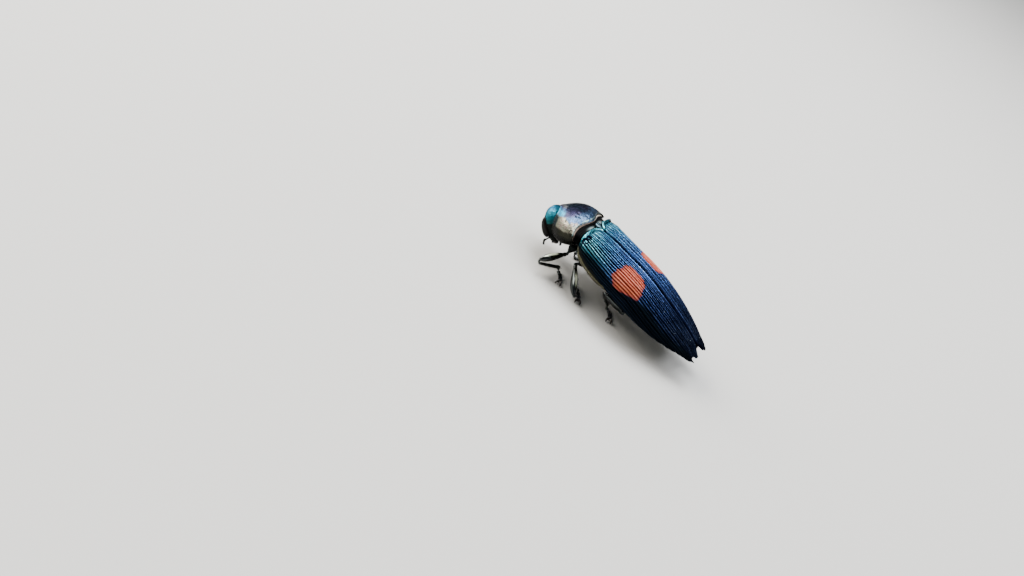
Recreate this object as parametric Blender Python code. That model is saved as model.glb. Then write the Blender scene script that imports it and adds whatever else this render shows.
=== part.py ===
"""A jewel beetle at life size, standing with its prothorax and head bent down.

The body frame has its origin at the front end of the wing-case seam, +Y to the tail, +Z up and +X to
the beetle's left. The stance empty pitches that frame nose-up on a flat floor at z = 0, and the
prothorax and the head hang from it on empties of their own. Every plate keeps a small gap to the next.
"""

import math
from typing import NamedTuple

import bmesh
import bpy
from mathutils import Matrix, Vector

MM = 0.001
GAP = 0.20 * MM

# Stance: where the seam's front end stands above the floor, and how far the body is pitched nose-up.
SEAM_START = Vector((0.0, -8.28, 10.56)) * MM
PITCH = math.radians(10.76)

# Prothorax: its hind angles' line in the body frame, and how far it and the head are bent down.
PROTHORAX_HINGE = Vector((0.0, -1.5, -2.2)) * MM
PROTHORAX_BEND = math.radians(40)
HEAD_CENTRE = Vector((0.0, -5.65, -0.85)) * MM
HEAD_BEND = math.radians(14)

# Wing cases: y, half width, height of the seam, drop from the seam to the side margin.
WING_CASE_STATIONS = (
    (-1.0, 5.15, -0.40, 1.45),
    (0.5, 5.65, -0.13, 2.15),
    (3.0, 5.85, 0.35, 3.25),
    (6.5, 6.05, 0.73, 3.95),
    (10.0, 6.35, 1.07, 4.35),
    (13.0, 6.45, 1.07, 4.13),
    (17.0, 6.05, 0.80, 3.60),
    (21.0, 4.95, 0.36, 2.75),
    (24.2, 3.70, -0.28, 1.62),
    (26.8, 2.60, -0.95, 0.80),
)
WING_CASE_SQUARE = 3.0
WING_CASE_WALL = 0.55 * MM
WING_CASE_ROWS = 20
WING_CASE_COLUMNS = 10
TIP_SPLIT_Y = 24.2 * MM
TIP_SPLIT = 0.95 * MM
OUTER_SPINE = 0.85 * MM
INNER_LOBE = 0.55 * MM
APEX_Y = 25.75 * MM

# Prothorax, from its rear to its front: distance, half width, dome above the side line, depth below it.
PROTHORAX_STATIONS = (
    (0.0, 5.60, 1.45, 2.40),
    (0.7, 5.68, 2.50, 2.60),
    (1.8, 5.50, 3.30, 2.75),
    (3.0, 4.95, 3.62, 2.70),
    (4.0, 4.20, 3.60, 2.55),
    (4.9, 3.35, 3.35, 2.30),
)
PROTHORAX_SQUARE = 2.25
PROTHORAX_SIDE_SLOPE = 0.12
PROTHORAX_LENGTH = 4.9 * MM
PROTHORAX_WALL = 0.55 * MM
REAR_LOBE = 1.05 * MM
LOBE_WIDTH = 2.3 * MM
HIND_ANGLE = 0.25 * MM
FRONT_LOBE = 0.40 * MM
FRONT_SINUS = 0.45 * MM
FRONT_RECESS = 1.0 * MM

# Head, from the crown down to the mouth: height, middle, half width, depth in front, depth behind.
HEAD_STATIONS = (
    (3.30, -0.10, 0.80, 0.55, 0.30),
    (3.00, -0.10, 1.50, 0.95, 0.65),
    (2.20, -0.05, 2.15, 1.50, 1.15),
    (1.10, 0.00, 2.60, 1.85, 1.50),
    (-0.20, 0.05, 2.65, 1.95, 1.40),
    (-1.40, 0.00, 2.25, 1.90, 1.10),
    (-2.20, -0.10, 1.70, 1.60, 0.90),
    (-2.65, -0.20, 1.35, 1.30, 0.65),
)
EYE_CENTRE = Vector((2.10, -1.05, 0.20)) * MM
EYE_RADII = Vector((0.72, 0.80, 1.72)) * MM
EYE_LEAN = math.radians(8)

# Mouth, in the head's frame: the lip and the jaws hang below the head, each with a mouth feeler behind.
LABRUM_Y = -1.15
LABRUM_STATIONS = (
    (-2.86, 0.75, 0.28),
    (-2.96, 0.88, 0.31),
    (-3.08, 0.70, 0.22),
)
MANDIBLE_Y = -0.35
# Jaw: height, distance from the middle, radius.
MANDIBLE_STATIONS = (
    (-2.86, 0.80, 0.42),
    (-3.00, 0.82, 0.40),
    (-3.14, 0.66, 0.27),
    (-3.23, 0.42, 0.10),
)
# Mouth feeler: x, y, z, radius.
PALP_STATIONS = (
    (0.95, 0.50, -2.90, 0.22),
    (1.10, 0.62, -3.05, 0.25),
    (1.15, 0.55, -3.22, 0.23),
    (1.05, 0.38, -3.36, 0.15),
)

# Antenna, in the head's frame: the four control points of its line.
ANTENNA_LINE = (
    (1.45, -1.62, -1.95),
    (2.30, -1.80, -2.05),
    (3.00, -1.30, -2.05),
    (3.60, -1.15, -2.40),
)
ANTENNA_JOINTS = 11
ANTENNA_PLAIN_JOINTS = 3
ANTENNA_STEM = 0.25 * MM
ANTENNA_KNOB = 0.28 * MM
ANTENNA_TOOTH = 0.34 * MM

# Trunk below the wing cases: y, half width of the flanks, depth below the wing cases' side margin.
TRUNK_STATIONS = (
    (1.2, 5.40, 2.75),
    (4.0, 5.50, 2.70),
    (6.5, 5.30, 2.55),
    (9.0, 4.50, 2.20),
    (11.0, 4.15, 2.00),
    (13.5, 4.15, 1.95),
    (17.0, 4.10, 1.85),
    (21.0, 3.30, 1.50),
    (25.2, 1.80, 0.80),
)
TRUNK_SQUARE = 2.3
DOME_SQUARE = 2.5
LEDGE = 0.10 * MM
JOINT_LIP = 0.12
JOINT_STEP = 0.08 * MM
# Collar of the middle thorax: y, height of its side line, half width, rise, depth and forward lean.
COLLAR_STATIONS = (
    (-1.22, -2.25, 4.90, 0.45, 1.50, 44),
    (-0.75, -2.30, 4.35, 1.00, 2.10, 30),
    (0.20, -2.55, 4.55, 1.30, 2.75, 8),
)
MESOTHORAX_SPAN = (1.2, 4.2)
METATHORAX_SPAN = (4.2, 13.0)
VENTRITE_ENDS = (13.0, 16.2, 18.6, 20.7, 22.7, 25.2)


class LegLine(NamedTuple):
    """One leg: its joints in the body frame, and its foot's line as x, y on the floor."""

    coxa: tuple
    trochanter: tuple
    knee: tuple
    ankle: tuple
    bend: tuple
    toe: tuple


LEGS = {
    "front_left": LegLine(
        coxa=(1.55, -0.55, -5.35),
        trochanter=(2.60, -0.30, -7.10),
        knee=(7.55, -2.25, -8.55),
        ankle=(3.00, 0.75),
        bend=(3.70, 2.15),
        toe=(5.15, 2.50),
    ),
    "front_right": LegLine(
        coxa=(1.55, -0.55, -5.35),
        trochanter=(2.60, -0.30, -7.10),
        knee=(7.45, -2.65, -8.40),
        ankle=(3.15, 0.45),
        bend=(3.90, 1.75),
        toe=(5.35, 2.00),
    ),
    "middle_left": LegLine(
        coxa=(1.75, 3.20, -5.30),
        trochanter=(2.70, 1.95, -7.00),
        knee=(6.90, 5.80, -8.35),
        ankle=(2.40, 4.20),
        bend=(4.10, 6.30),
        toe=(5.45, 6.85),
    ),
    "middle_right": LegLine(
        coxa=(1.75, 3.20, -5.30),
        trochanter=(2.70, 1.95, -7.00),
        knee=(7.00, 5.30, -8.15),
        ankle=(2.60, 4.20),
        bend=(4.30, 6.10),
        toe=(5.70, 6.55),
    ),
    "hind_left": LegLine(
        coxa=(1.55, 12.95, -4.60),
        trochanter=(2.50, 13.20, -6.10),
        knee=(5.45, 9.10, -4.20),
        ankle=(1.65, 10.75),
        bend=(2.05, 12.20),
        toe=(3.55, 12.60),
    ),
    "hind_right": LegLine(
        coxa=(1.55, 12.95, -4.60),
        trochanter=(2.50, 13.20, -6.10),
        knee=(5.55, 9.40, -4.25),
        ankle=(1.95, 11.45),
        bend=(2.45, 12.95),
        toe=(4.00, 13.40),
    ),
}
FLOOR_AT_SEAM_START = -10.75 * MM
FLOOR_SLOPE = math.tan(PITCH)
ANKLE_HEIGHT = 0.96 * MM

# Limb profiles: share of the length, half width, half thickness.
FEMUR_PROFILE = (
    (0.00, 0.20, 0.20),
    (0.04, 0.36, 0.34),
    (0.14, 0.38, 0.35),
    (0.45, 0.54, 0.47),
    (0.80, 0.42, 0.38),
    (0.95, 0.33, 0.30),
    (1.00, 0.17, 0.17),
)
# The front and middle femora are stouter than the hind ones.
STOUT_FEMUR_PROFILE = (
    (0.00, 0.20, 0.20),
    (0.04, 0.36, 0.34),
    (0.15, 0.39, 0.36),
    (0.45, 0.66, 0.58),
    (0.62, 0.72, 0.62),
    (0.80, 0.64, 0.56),
    (0.94, 0.43, 0.38),
    (1.00, 0.17, 0.17),
)
TIBIA_PROFILE = (
    (0.00, 0.16, 0.16),
    (0.05, 0.27, 0.26),
    (0.40, 0.31, 0.29),
    (0.90, 0.34, 0.31),
    (1.00, 0.20, 0.20),
)
# Coxa: share of its reach, radius.
COXA_PROFILE = (
    (-0.35, 0.30),
    (-0.22, 0.62),
    (0.10, 0.80),
    (0.50, 0.72),
    (0.85, 0.46),
    (1.00, 0.26),
)
LIMB_SIDES = 8
TROCHANTER_ROOM = 0.52 * MM
KNEE_STEP = 0.72 * MM
TIBIA_BOW = -0.08 * MM
TARSOMERES = 5
TARSUS_HALF_WIDTH = 0.40 * MM
TARSUS_WAIST = 0.27 * MM
TARSUS_HEIGHT = 0.48 * MM
TARSUS_ROOT = (0.20 * MM, 0.50 * MM)
# One joint of the foot across: share of the half width, share of the height.
SOLE_OUTLINE = ((-1.0, 0.35), (-0.78, 0.0), (0.78, 0.0), (1.0, 0.35), (0.55, 1.0), (-0.55, 1.0))
# A claw from its tip to its root: ahead, aside, height, radius.
CLAW_ARM = (
    (0.72, 0.40, 0.12, 0.07),
    (0.56, 0.45, 0.30, 0.15),
    (0.28, 0.34, 0.46, 0.22),
    (0.05, 0.14, 0.42, 0.25),
)
CLAW_ROOT = 0.32 * MM

COLOURS = {
    "shell_blue": ((0.03, 0.10, 0.22), 0.30, 0.9),
    "prothorax_blue": ((0.10, 0.20, 0.24), 0.22, 0.9),
    "underside_bronze": ((0.16, 0.15, 0.09), 0.40, 0.8),
    "leg_green": ((0.03, 0.06, 0.05), 0.25, 0.8),
    "eye_brown": ((0.05, 0.03, 0.02), 0.15, 0.0),
    "claw_horn": ((0.05, 0.025, 0.012), 0.30, 0.0),
}


def material(name):
    """The named finish, made once."""
    found = bpy.data.materials.get(name)
    if found:
        return found
    colour, roughness, metallic = COLOURS[name]
    made = bpy.data.materials.new(name)
    made.use_nodes = True
    shader = made.node_tree.nodes["Principled BSDF"]
    shader.inputs["Base Color"].default_value = (*colour, 1)
    shader.inputs["Roughness"].default_value = roughness
    shader.inputs["Metallic"].default_value = metallic
    return made


def profile(stations, at):
    """The values of the stations at one place, on a smooth curve through them."""
    last = len(stations) - 1
    at = min(max(at, stations[0][0]), stations[last][0])
    i = 0
    while i < last - 1 and at > stations[i + 1][0]:
        i += 1
    span = stations[i + 1][0] - stations[i][0]
    t = (at - stations[i][0]) / span

    def slope(k, column):
        low, high = max(k - 1, 0), min(k + 1, last)
        return (stations[high][column] - stations[low][column]) / (stations[high][0] - stations[low][0])

    values = []
    for column in range(1, len(stations[0])):
        p0, p1 = stations[i][column], stations[i + 1][column]
        m0, m1 = slope(i, column) * span, slope(i + 1, column) * span
        cubic = (2 * t**3 - 3 * t**2 + 1) * p0 + (t**3 - 2 * t**2 + t) * m0
        values.append(cubic + (3 * t**2 - 2 * t**3) * p1 + (t**3 - t**2) * m1)
    return values


def in_mm(values):
    return [value * MM for value in values]


def power(value, exponent):
    return math.copysign(abs(value) ** exponent, value)


def section(half_width, top, bottom, count, square=2.2):
    """Points (x, z) round a rounded section, widest at z = 0, turning from +X through +Z."""
    points = []
    for k in range(count):
        angle = 2 * math.pi * k / count
        rise = power(math.sin(angle), 2 / square)
        x = half_width * power(math.cos(angle), 2 / square)
        points.append((x, rise * (top if rise > 0 else bottom)))
    return points


def new_object(name, mesh, finish, parent=None):
    mesh.materials.append(material(finish))
    made = bpy.data.objects.new(name, mesh)
    bpy.context.scene.collection.objects.link(made)
    made.parent = parent
    return made


def ring_walls(bm, rings):
    """The faces between neighbouring rings of points; returns the rings' vertices."""
    rows = [[bm.verts.new(point) for point in ring] for ring in rings]
    count = len(rows[0])
    for low, high in zip(rows, rows[1:]):
        for k in range(count):
            following = (k + 1) % count
            bm.faces.new((low[k], low[following], high[following], high[k]))
    return rows


def smooth_mesh(name, bm):
    """A mesh of the surface, faces outward, smooth but for its edges."""
    bmesh.ops.recalc_face_normals(bm, faces=bm.faces)
    mesh = bpy.data.meshes.new(name)
    bm.to_mesh(mesh)
    bm.free()
    mesh.shade_smooth()
    mesh.set_sharp_from_angle(angle=math.radians(50))
    return mesh


def lofted_mesh(name, rings):
    """A closed surface over rings of points, each end filled from its middle."""
    bm = bmesh.new()
    rows = ring_walls(bm, rings)
    for row in (rows[0], rows[-1]):
        middle = bm.verts.new(sum((vert.co for vert in row), Vector()) / len(row))
        for k, vert in enumerate(row):
            bm.faces.new((vert, row[(k + 1) % len(row)], middle))
    return smooth_mesh(name, bm)


def subtract(target, cutter):
    """Cuts a helper's shape out of a plate."""
    cutter.hide_render = True
    cutter.display_type = "WIRE"
    cut = target.modifiers.new("cut_" + cutter.name, "BOOLEAN")
    cut.operation = "DIFFERENCE"
    cut.solver = "EXACT"
    cut.object = cutter


def empty(name, parent=None, location=(0, 0, 0), turn=0.0):
    made = bpy.data.objects.new(name, None)
    bpy.context.scene.collection.objects.link(made)
    made.parent = parent
    made.location = location
    made.rotation_euler = (turn, 0, 0)
    return made


# Wing cases


def wing_case_base(share):
    """Where a wing case starts, from the seam (share 0) to its side margin (share 1)."""
    return (-0.75 + 1.25 * math.exp(-share / 0.045) + 0.2 * share + 0.62 * share**4) * MM


def wing_case_end(share):
    """Where a wing case ends: a blunt inner lobe, a notch and a pointed outer spine."""
    inner = INNER_LOBE * math.exp(-(((share - 0.12) / 0.20) ** 4))
    outer = OUTER_SPINE * math.exp(-(((share - 0.84) / 0.11) ** 2))
    return APEX_Y + inner + outer


def wing_case_point(y, share, depth=0.0):
    """A point of the left wing case, on its outer face or a depth inside it."""
    half_width, seam, drop = in_mm(profile(WING_CASE_STATIONS, y / MM))
    split = GAP / 2 + TIP_SPLIT * max(0.0, (y - TIP_SPLIT_Y) / (APEX_Y - TIP_SPLIT_Y))
    angle = share * math.pi / 2
    x = split + (half_width - depth - split) * math.sin(angle) ** (2 / WING_CASE_SQUARE)
    z = seam - drop + (drop - depth) * abs(math.cos(angle)) ** (2 / WING_CASE_SQUARE)
    return Vector((x, y, z))


def wing_case(side, stance):
    """One wing case as a curved plate, from its base rim to its two-spined tip."""
    rings = []
    for row in range(WING_CASE_ROWS + 1):
        along = 0.5 - 0.5 * math.cos(math.pi * row / WING_CASE_ROWS)
        outer, inner = [], []
        for column in range(WING_CASE_COLUMNS + 1):
            share = column / WING_CASE_COLUMNS
            start, end = wing_case_base(share), wing_case_end(share)
            y = start + along * (end - start)
            outer.append(wing_case_point(y, share))
            inner.append(wing_case_point(y, share, WING_CASE_WALL))
        rings.append(outer + inner[::-1])
    for ring in rings:
        for point in ring:
            point.x *= 1 if side == "left" else -1
    name = f"elytron_{side}"
    return new_object(name, wing_case_mesh(name, rings), "shell_blue", stance)


def wing_case_mesh(name, rings):
    """The plate's surface, its two ends closed by strips from the outer to the inner edge."""
    bm = bmesh.new()
    rows = ring_walls(bm, rings)
    count = len(rows[0])
    for row in (rows[0], rows[-1]):
        for k in range(count // 2 - 1):
            bm.faces.new((row[k], row[k + 1], row[count - 2 - k], row[count - 1 - k]))
    return smooth_mesh(name, bm)


def scutellum(stance):
    """The small shield in the notch where the two wing cases start."""
    half_width, length, thickness = 0.60 * MM, 1.15 * MM, 0.52 * MM
    front, top = -1.0 * MM, -0.30 * MM
    rings = []
    for share, spread in ((0.0, 0.75), (0.15, 1.0), (0.55, 0.8), (0.9, 0.35), (1.0, 0.12)):
        y = front + share * length
        ring = [
            Vector((x, y, top + z))
            for x, z in section(half_width * spread, 0.1 * MM, thickness, 8)
        ]
        rings.append(ring)
    return new_object("scutellum", lofted_mesh("scutellum", rings), "shell_blue", stance)


# Trunk


def trunk_ring(y_mm, shrink=0.0, half_count=11):
    """One section of the trunk: a dome inside the wing cases, a ledge under their edge, and the flanks."""
    half_width, depth = in_mm(profile(TRUNK_STATIONS, y_mm))
    case_width, seam, drop = in_mm(profile(WING_CASE_STATIONS, y_mm))
    room = WING_CASE_WALL + GAP
    margin = seam - drop - GAP
    ring = []
    rise = drop - WING_CASE_WALL - shrink
    dome = section(case_width - room - shrink, rise, 0, 2 * half_count, DOME_SQUARE)
    for x, z in dome[: half_count + 1]:
        ring.append(Vector((x, y_mm * MM, margin + z)))
    flanks = section(half_width - shrink, 0, depth - shrink, 2 * half_count, TRUNK_SQUARE)
    for x, z in flanks[half_count:] + flanks[:1]:
        ring.append(Vector((x, y_mm * MM, margin - LEDGE + z)))
    return ring


def collar_ring(values, shrink=0.0, half_count=11):
    """One section of the collar that the prothorax turns on, leaning forward."""
    y, level, half_width, rise, depth = (value * MM for value in values[:5])
    lean = math.radians(values[5])
    ring = []
    points = section(half_width - shrink, rise - shrink, depth - shrink, 2 * half_count)
    for x, z in points[: half_count + 1] + points[half_count:] + points[:1]:
        ring.append(Vector((x, y - z * math.sin(lean), level + z * math.cos(lean))))
    return ring


def trunk_piece(name, start, end, rows, stance, before=()):
    """A length of the trunk, with its ends drawn in a little so that the joints show."""
    half_gap = GAP / 2 / MM
    rings = list(before)
    first, last = start + half_gap, end - half_gap - JOINT_LIP
    if not before:
        rings.append(trunk_ring(first, JOINT_STEP))
        first += JOINT_LIP
    for row in range(rows + 1):
        rings.append(trunk_ring(first + (last - first) * row / rows))
    rings.append(trunk_ring(end - half_gap, JOINT_STEP))
    return new_object(name, lofted_mesh(name, rings), "underside_bronze", stance)


# Prothorax and head


def prothorax_ring(distance, shrink=0.0, rear=0.0, front=0.0, count=24):
    """One section of the prothorax in its own frame, its middle drawn out to the rear or the front."""
    half_width, dome, depth = in_mm(profile(PROTHORAX_STATIONS, distance / MM))
    side_line = -PROTHORAX_SIDE_SLOPE * distance
    ring = []
    for x, z in section(half_width - shrink, dome - shrink, depth - shrink, count, PROTHORAX_SQUARE):
        middle = math.exp(-((x / LOBE_WIDTH) ** 2)) if z > 0 else 0.0
        corner = (abs(x) / half_width) ** 8 if z >= 0 else 0.0
        under = (z / depth) ** 2 if z < 0 else 0.0
        lobe = rear * (REAR_LOBE * middle + HIND_ANGLE * corner)
        share = abs(x) / half_width
        sinus = (4 * share * (1 - share)) ** 2 if z > 0 else 0.0
        recess = front * (FRONT_RECESS * under + FRONT_SINUS * sinus - FRONT_LOBE * middle)
        ring.append(Vector((x, lobe + recess - distance, side_line + z)))
    return ring


def prothorax(frame):
    """The prothorax as one ring-shaped plate, hollowed at both ends for its neighbours."""
    rows = 9
    rings = [
        prothorax_ring(1.1 * MM, shrink=1.9 * MM),
        prothorax_ring(0.35 * MM, shrink=0.75 * MM, rear=0.5),
        prothorax_ring(0.1 * MM, shrink=0.3 * MM, rear=0.9),
    ]
    for row in range(rows + 1):
        share = row / rows
        rear = max(0.0, 1 - 2.5 * share) ** 1.5
        rings.append(prothorax_ring(share * PROTHORAX_LENGTH, rear=rear, front=share**3))
    rings.append(prothorax_ring(PROTHORAX_LENGTH - 0.05 * MM, shrink=0.35 * MM, front=1.0))
    rings.append(prothorax_ring(PROTHORAX_LENGTH - 0.6 * MM, shrink=PROTHORAX_WALL, front=0.8))
    rings.append(prothorax_ring(PROTHORAX_LENGTH - 1.9 * MM, shrink=1.6 * MM))
    return new_object("prothorax", lofted_mesh("prothorax", rings), "prothorax_blue", frame)


def head(frame):
    rings = []
    for height, middle, half_width, front, rear in HEAD_STATIONS:
        ring = [
            Vector((x, middle - y, height)) * MM
            for x, y in section(half_width, front, rear, 18)
        ]
        rings.append(ring)
    return new_object("head", lofted_mesh("head", rings), "prothorax_blue", frame)


def ellipsoid(name, centre, radii, finish, parent, columns=12, rows=7, lean=0.0):
    """An ellipsoid standing on Z, leaned about Y."""
    bm = bmesh.new()
    bmesh.ops.create_uvsphere(bm, u_segments=columns, v_segments=rows, radius=1)
    shape = Matrix.Translation(centre) @ Matrix.Rotation(lean, 4, "Y") @ Matrix.Diagonal((*radii, 1))
    bmesh.ops.transform(bm, matrix=shape, verts=bm.verts)
    mesh = bpy.data.meshes.new(name)
    bm.to_mesh(mesh)
    bm.free()
    mesh.shade_smooth()
    return new_object(name, mesh, finish, parent)


def eyes(frame, head_object):
    """Tall compound eyes, each in a socket of the head."""
    for side, sign in (("left", 1), ("right", -1)):
        centre = Vector((sign * EYE_CENTRE.x, EYE_CENTRE.y, EYE_CENTRE.z))
        lean = -sign * EYE_LEAN
        ellipsoid(f"eye_{side}", centre, EYE_RADII, "eye_brown", frame, lean=lean)
        room = EYE_RADII + Vector((GAP, GAP, GAP)) * 1.3
        socket = ellipsoid(f"eye_socket_{side}", centre, room, "eye_brown", frame, 14, 8, lean)
        subtract(head_object, socket)


def mouthparts(frame):
    """Upper lip, two jaws and two feelers of the mouth, below the head."""
    rings = []
    for height, half_width, depth in LABRUM_STATIONS:
        outline = section(half_width, depth, depth, 10)
        rings.append([Vector((x, LABRUM_Y + y, height)) * MM for x, y in outline])
    new_object("labrum", lofted_mesh("labrum", rings), "leg_green", frame)
    for side, sign in (("left", 1), ("right", -1)):
        rings = []
        for height, middle, radius in MANDIBLE_STATIONS:
            outline = section(radius, radius, radius, 8)
            rings.append([Vector((sign * (middle + x), MANDIBLE_Y + y, height)) * MM for x, y in outline])
        name = f"mandible_{side}"
        new_object(name, lofted_mesh(name, rings), "claw_horn", frame)
        route = [Vector((sign * x, y, z)) * MM for x, y, z, radius in PALP_STATIONS]
        radii = [radius * MM for x, y, z, radius in PALP_STATIONS]
        name = f"palp_{side}"
        new_object(name, tube_mesh(name, route, radii, 6), "leg_green", frame)


def frames_along(route, side):
    """For each point of a route, the two directions across it, the second near a given side."""
    across = []
    for k, point in enumerate(route):
        ahead = route[min(k + 1, len(route) - 1)] - route[max(k - 1, 0)]
        first = ahead.cross(side).normalized()
        across.append((first, first.cross(ahead).normalized()))
    return across


def around(middle, first, second, count):
    """Points round a middle, on the ellipse that two directions across it span."""
    turns = [2 * math.pi * k / count for k in range(count)]
    return [middle + first * math.cos(turn) + second * math.sin(turn) for turn in turns]


def tube_mesh(name, route, radii, count, side=Vector((0, 1, 0.2))):
    """A round tube of changing radius through a route."""
    rings = []
    for point, radius, (first, second) in zip(route, radii, frames_along(route, side)):
        rings.append(around(point, first * radius, second * radius, count))
    return lofted_mesh(name, rings)


def bezier(start, pull_start, pull_end, end, t):
    u = 1 - t
    return start * u**3 + pull_start * 3 * u * u * t + pull_end * 3 * u * t * t + end * t**3


def antennae(frame):
    """Eleven-jointed feelers, saw-toothed from the fourth joint on, each one solid."""
    line = [Vector(point) * MM for point in ANTENNA_LINE]
    for side, sign in (("left", 1), ("right", -1)):
        route, radii = [], []
        for joint in range(ANTENNA_JOINTS):
            tooth = ANTENNA_KNOB if joint < ANTENNA_PLAIN_JOINTS else ANTENNA_TOOTH
            thinning = 1 - 0.15 * joint / ANTENNA_JOINTS
            for part, radius in ((0.0, ANTENNA_STEM), (0.85, tooth)):
                route.append(bezier(*line, (joint + part) / ANTENNA_JOINTS))
                radii.append(radius * thinning)
        route.append(line[-1].copy())
        radii.append(0.15 * MM)
        for point in route:
            point.x *= sign
        name = f"antenna_{side}"
        new_object(name, tube_mesh(name, route, radii, 5), "leg_green", frame)


# Legs


def over_floor(x, y):
    """A body-frame point on the floor, which slopes in that frame."""
    return Vector((x * MM, y * MM, FLOOR_AT_SEAM_START + FLOOR_SLOPE * y * MM))


def limb(name, start, end, stations, bow):
    """A limb from one joint to the next, bowed upwards, stopping short of both by half a gap."""
    ahead = (end - start).normalized()
    start, end = start + ahead * GAP / 2, end - ahead * GAP / 2
    out = (Vector((0, 0, 1)) - ahead * ahead.z).normalized()
    across = ahead.cross(out)
    rings = []
    for share, half_width, half_thickness in stations:
        middle = start.lerp(end, share) + out * bow * math.sin(math.pi * share)
        rings.append(around(middle, out * half_width * MM, across * half_thickness * MM, LIMB_SIDES))
    return new_object(name, lofted_mesh(name, rings), "leg_green")


def along_foot(ankle, bend, toe, t):
    """A place on the foot's curved line, and its direction there."""
    place = ankle * (1 - t) ** 2 + bend * 2 * t * (1 - t) + toe * t * t
    ahead = (bend - ankle) * (1 - t) + (toe - bend) * t
    return place, ahead.normalized()


def tarsus(name, ankle, bend, toe):
    """Five heart-shaped joints on the floor: each has a flat sole, and a waist clear of the floor."""

    def ring(t, half_width, low, high):
        centre, along = along_foot(ankle, bend, toe, t)
        across = Vector((0, 0, 1)).cross(along)
        points = [centre + across * half_width * x for x, rise in SOLE_OUTLINE]
        for point, (x, rise) in zip(points, SOLE_OUTLINE):
            point.z = low + (high - low) * rise
        return points

    rings = [ring(0.02, 0.17 * MM, *TARSUS_ROOT)]
    for joint in range(TARSOMERES):
        last = joint == TARSOMERES - 1
        width = TARSUS_WAIST if last else TARSUS_HALF_WIDTH
        start, wide, end = ((joint + share) / TARSOMERES for share in (0.42, 0.62, 0.97))
        rings.append(ring(start, width * 0.92, 0.0, TARSUS_HEIGHT * 0.94))
        rings.append(ring(wide, width, 0.0, TARSUS_HEIGHT))
        if not last:
            rings.append(ring(end, TARSUS_WAIST, 0.14 * MM, TARSUS_HEIGHT * 0.8))
    rings.append(ring(0.98, TARSUS_WAIST, 0.08 * MM, TARSUS_HEIGHT * 0.9))
    return new_object(name, lofted_mesh(name, rings), "leg_green")


def claws(name, toe, along):
    """The pair of hooked claws, one tube from tip to tip round the end of the last joint."""
    across = Vector((0, 0, 1)).cross(along)
    root = toe + along * CLAW_ROOT
    turns = [(-1, step) for step in CLAW_ARM] + [(1, step) for step in reversed(CLAW_ARM)]
    route, radii = [], []
    for side, (ahead, aside, height, radius) in turns:
        point = root + along * ahead * MM + across * side * aside * MM
        point.z = height * MM
        route.append(point)
        radii.append(radius * MM)
    mesh = tube_mesh(name, route, radii, 5, side=Vector((0, 0, 1)))
    return new_object(name, mesh, "claw_horn")


def coxa(name, centre, trochanter):
    """The leg's rounded root, drawn out towards the trochanter."""
    ahead = (trochanter - centre).normalized()
    reach = (trochanter - centre).length - TROCHANTER_ROOM
    first = ahead.cross(Vector((1, 0, 0))).normalized() * MM
    second = ahead.cross(first)
    rings = []
    for share, radius in COXA_PROFILE:
        middle = centre + ahead * reach * share
        rings.append(around(middle, first * radius, second * radius, LIMB_SIDES))
    return new_object(name, lofted_mesh(name, rings), "underside_bronze")


def enlarged(name, source, growth):
    """A cutter of a piece's own shape, grown all round."""
    mesh = source.data.copy()
    bm = bmesh.new()
    bm.from_mesh(mesh)
    bm.normal_update()
    moved = [(vert, vert.co + vert.normal * growth) for vert in bm.verts]
    for vert, place in moved:
        vert.co = place
    bm.to_mesh(mesh)
    bm.free()
    made = bpy.data.objects.new(name, mesh)
    bpy.context.scene.collection.objects.link(made)
    return made


def leg(name, line, to_world, sockets_in):
    """One leg in world space: coxa, femur, tibia, tarsus and claws, its root sunk in the plates."""
    side = -1 if name.endswith("right") else 1

    def place(point):
        return to_world @ Vector((side * point.x, point.y, point.z))

    def on_floor(point):
        spot = place(over_floor(*point))
        spot.z = 0.0
        return spot

    hip, trochanter, knee = (place(Vector(joint) * MM) for joint in (line.coxa, line.trochanter, line.knee))
    ankle, bend, toe = (on_floor(point) for point in (line.ankle, line.bend, line.toe))
    ankle_joint = ankle + Vector((0, 0, ANKLE_HEIGHT))
    femur_line = (knee - trochanter).normalized()
    below = ankle_joint - knee
    below = (below - femur_line * below.dot(femur_line)).normalized()
    root = coxa(f"coxa_{name}", hip, trochanter)
    femur_profile = FEMUR_PROFILE if name.startswith("hind") else STOUT_FEMUR_PROFILE
    limb(f"femur_{name}", trochanter, knee, femur_profile, 0.0)
    limb(f"tibia_{name}", knee + below * KNEE_STEP, ankle_joint, TIBIA_PROFILE, TIBIA_BOW)
    tarsus(f"tarsus_{name}", ankle, bend, toe)
    claws(f"claws_{name}", toe, (toe - bend).normalized())
    cutter = enlarged(f"socket_{name}", root, GAP)
    for plate in sockets_in:
        subtract(plate, cutter)


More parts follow.
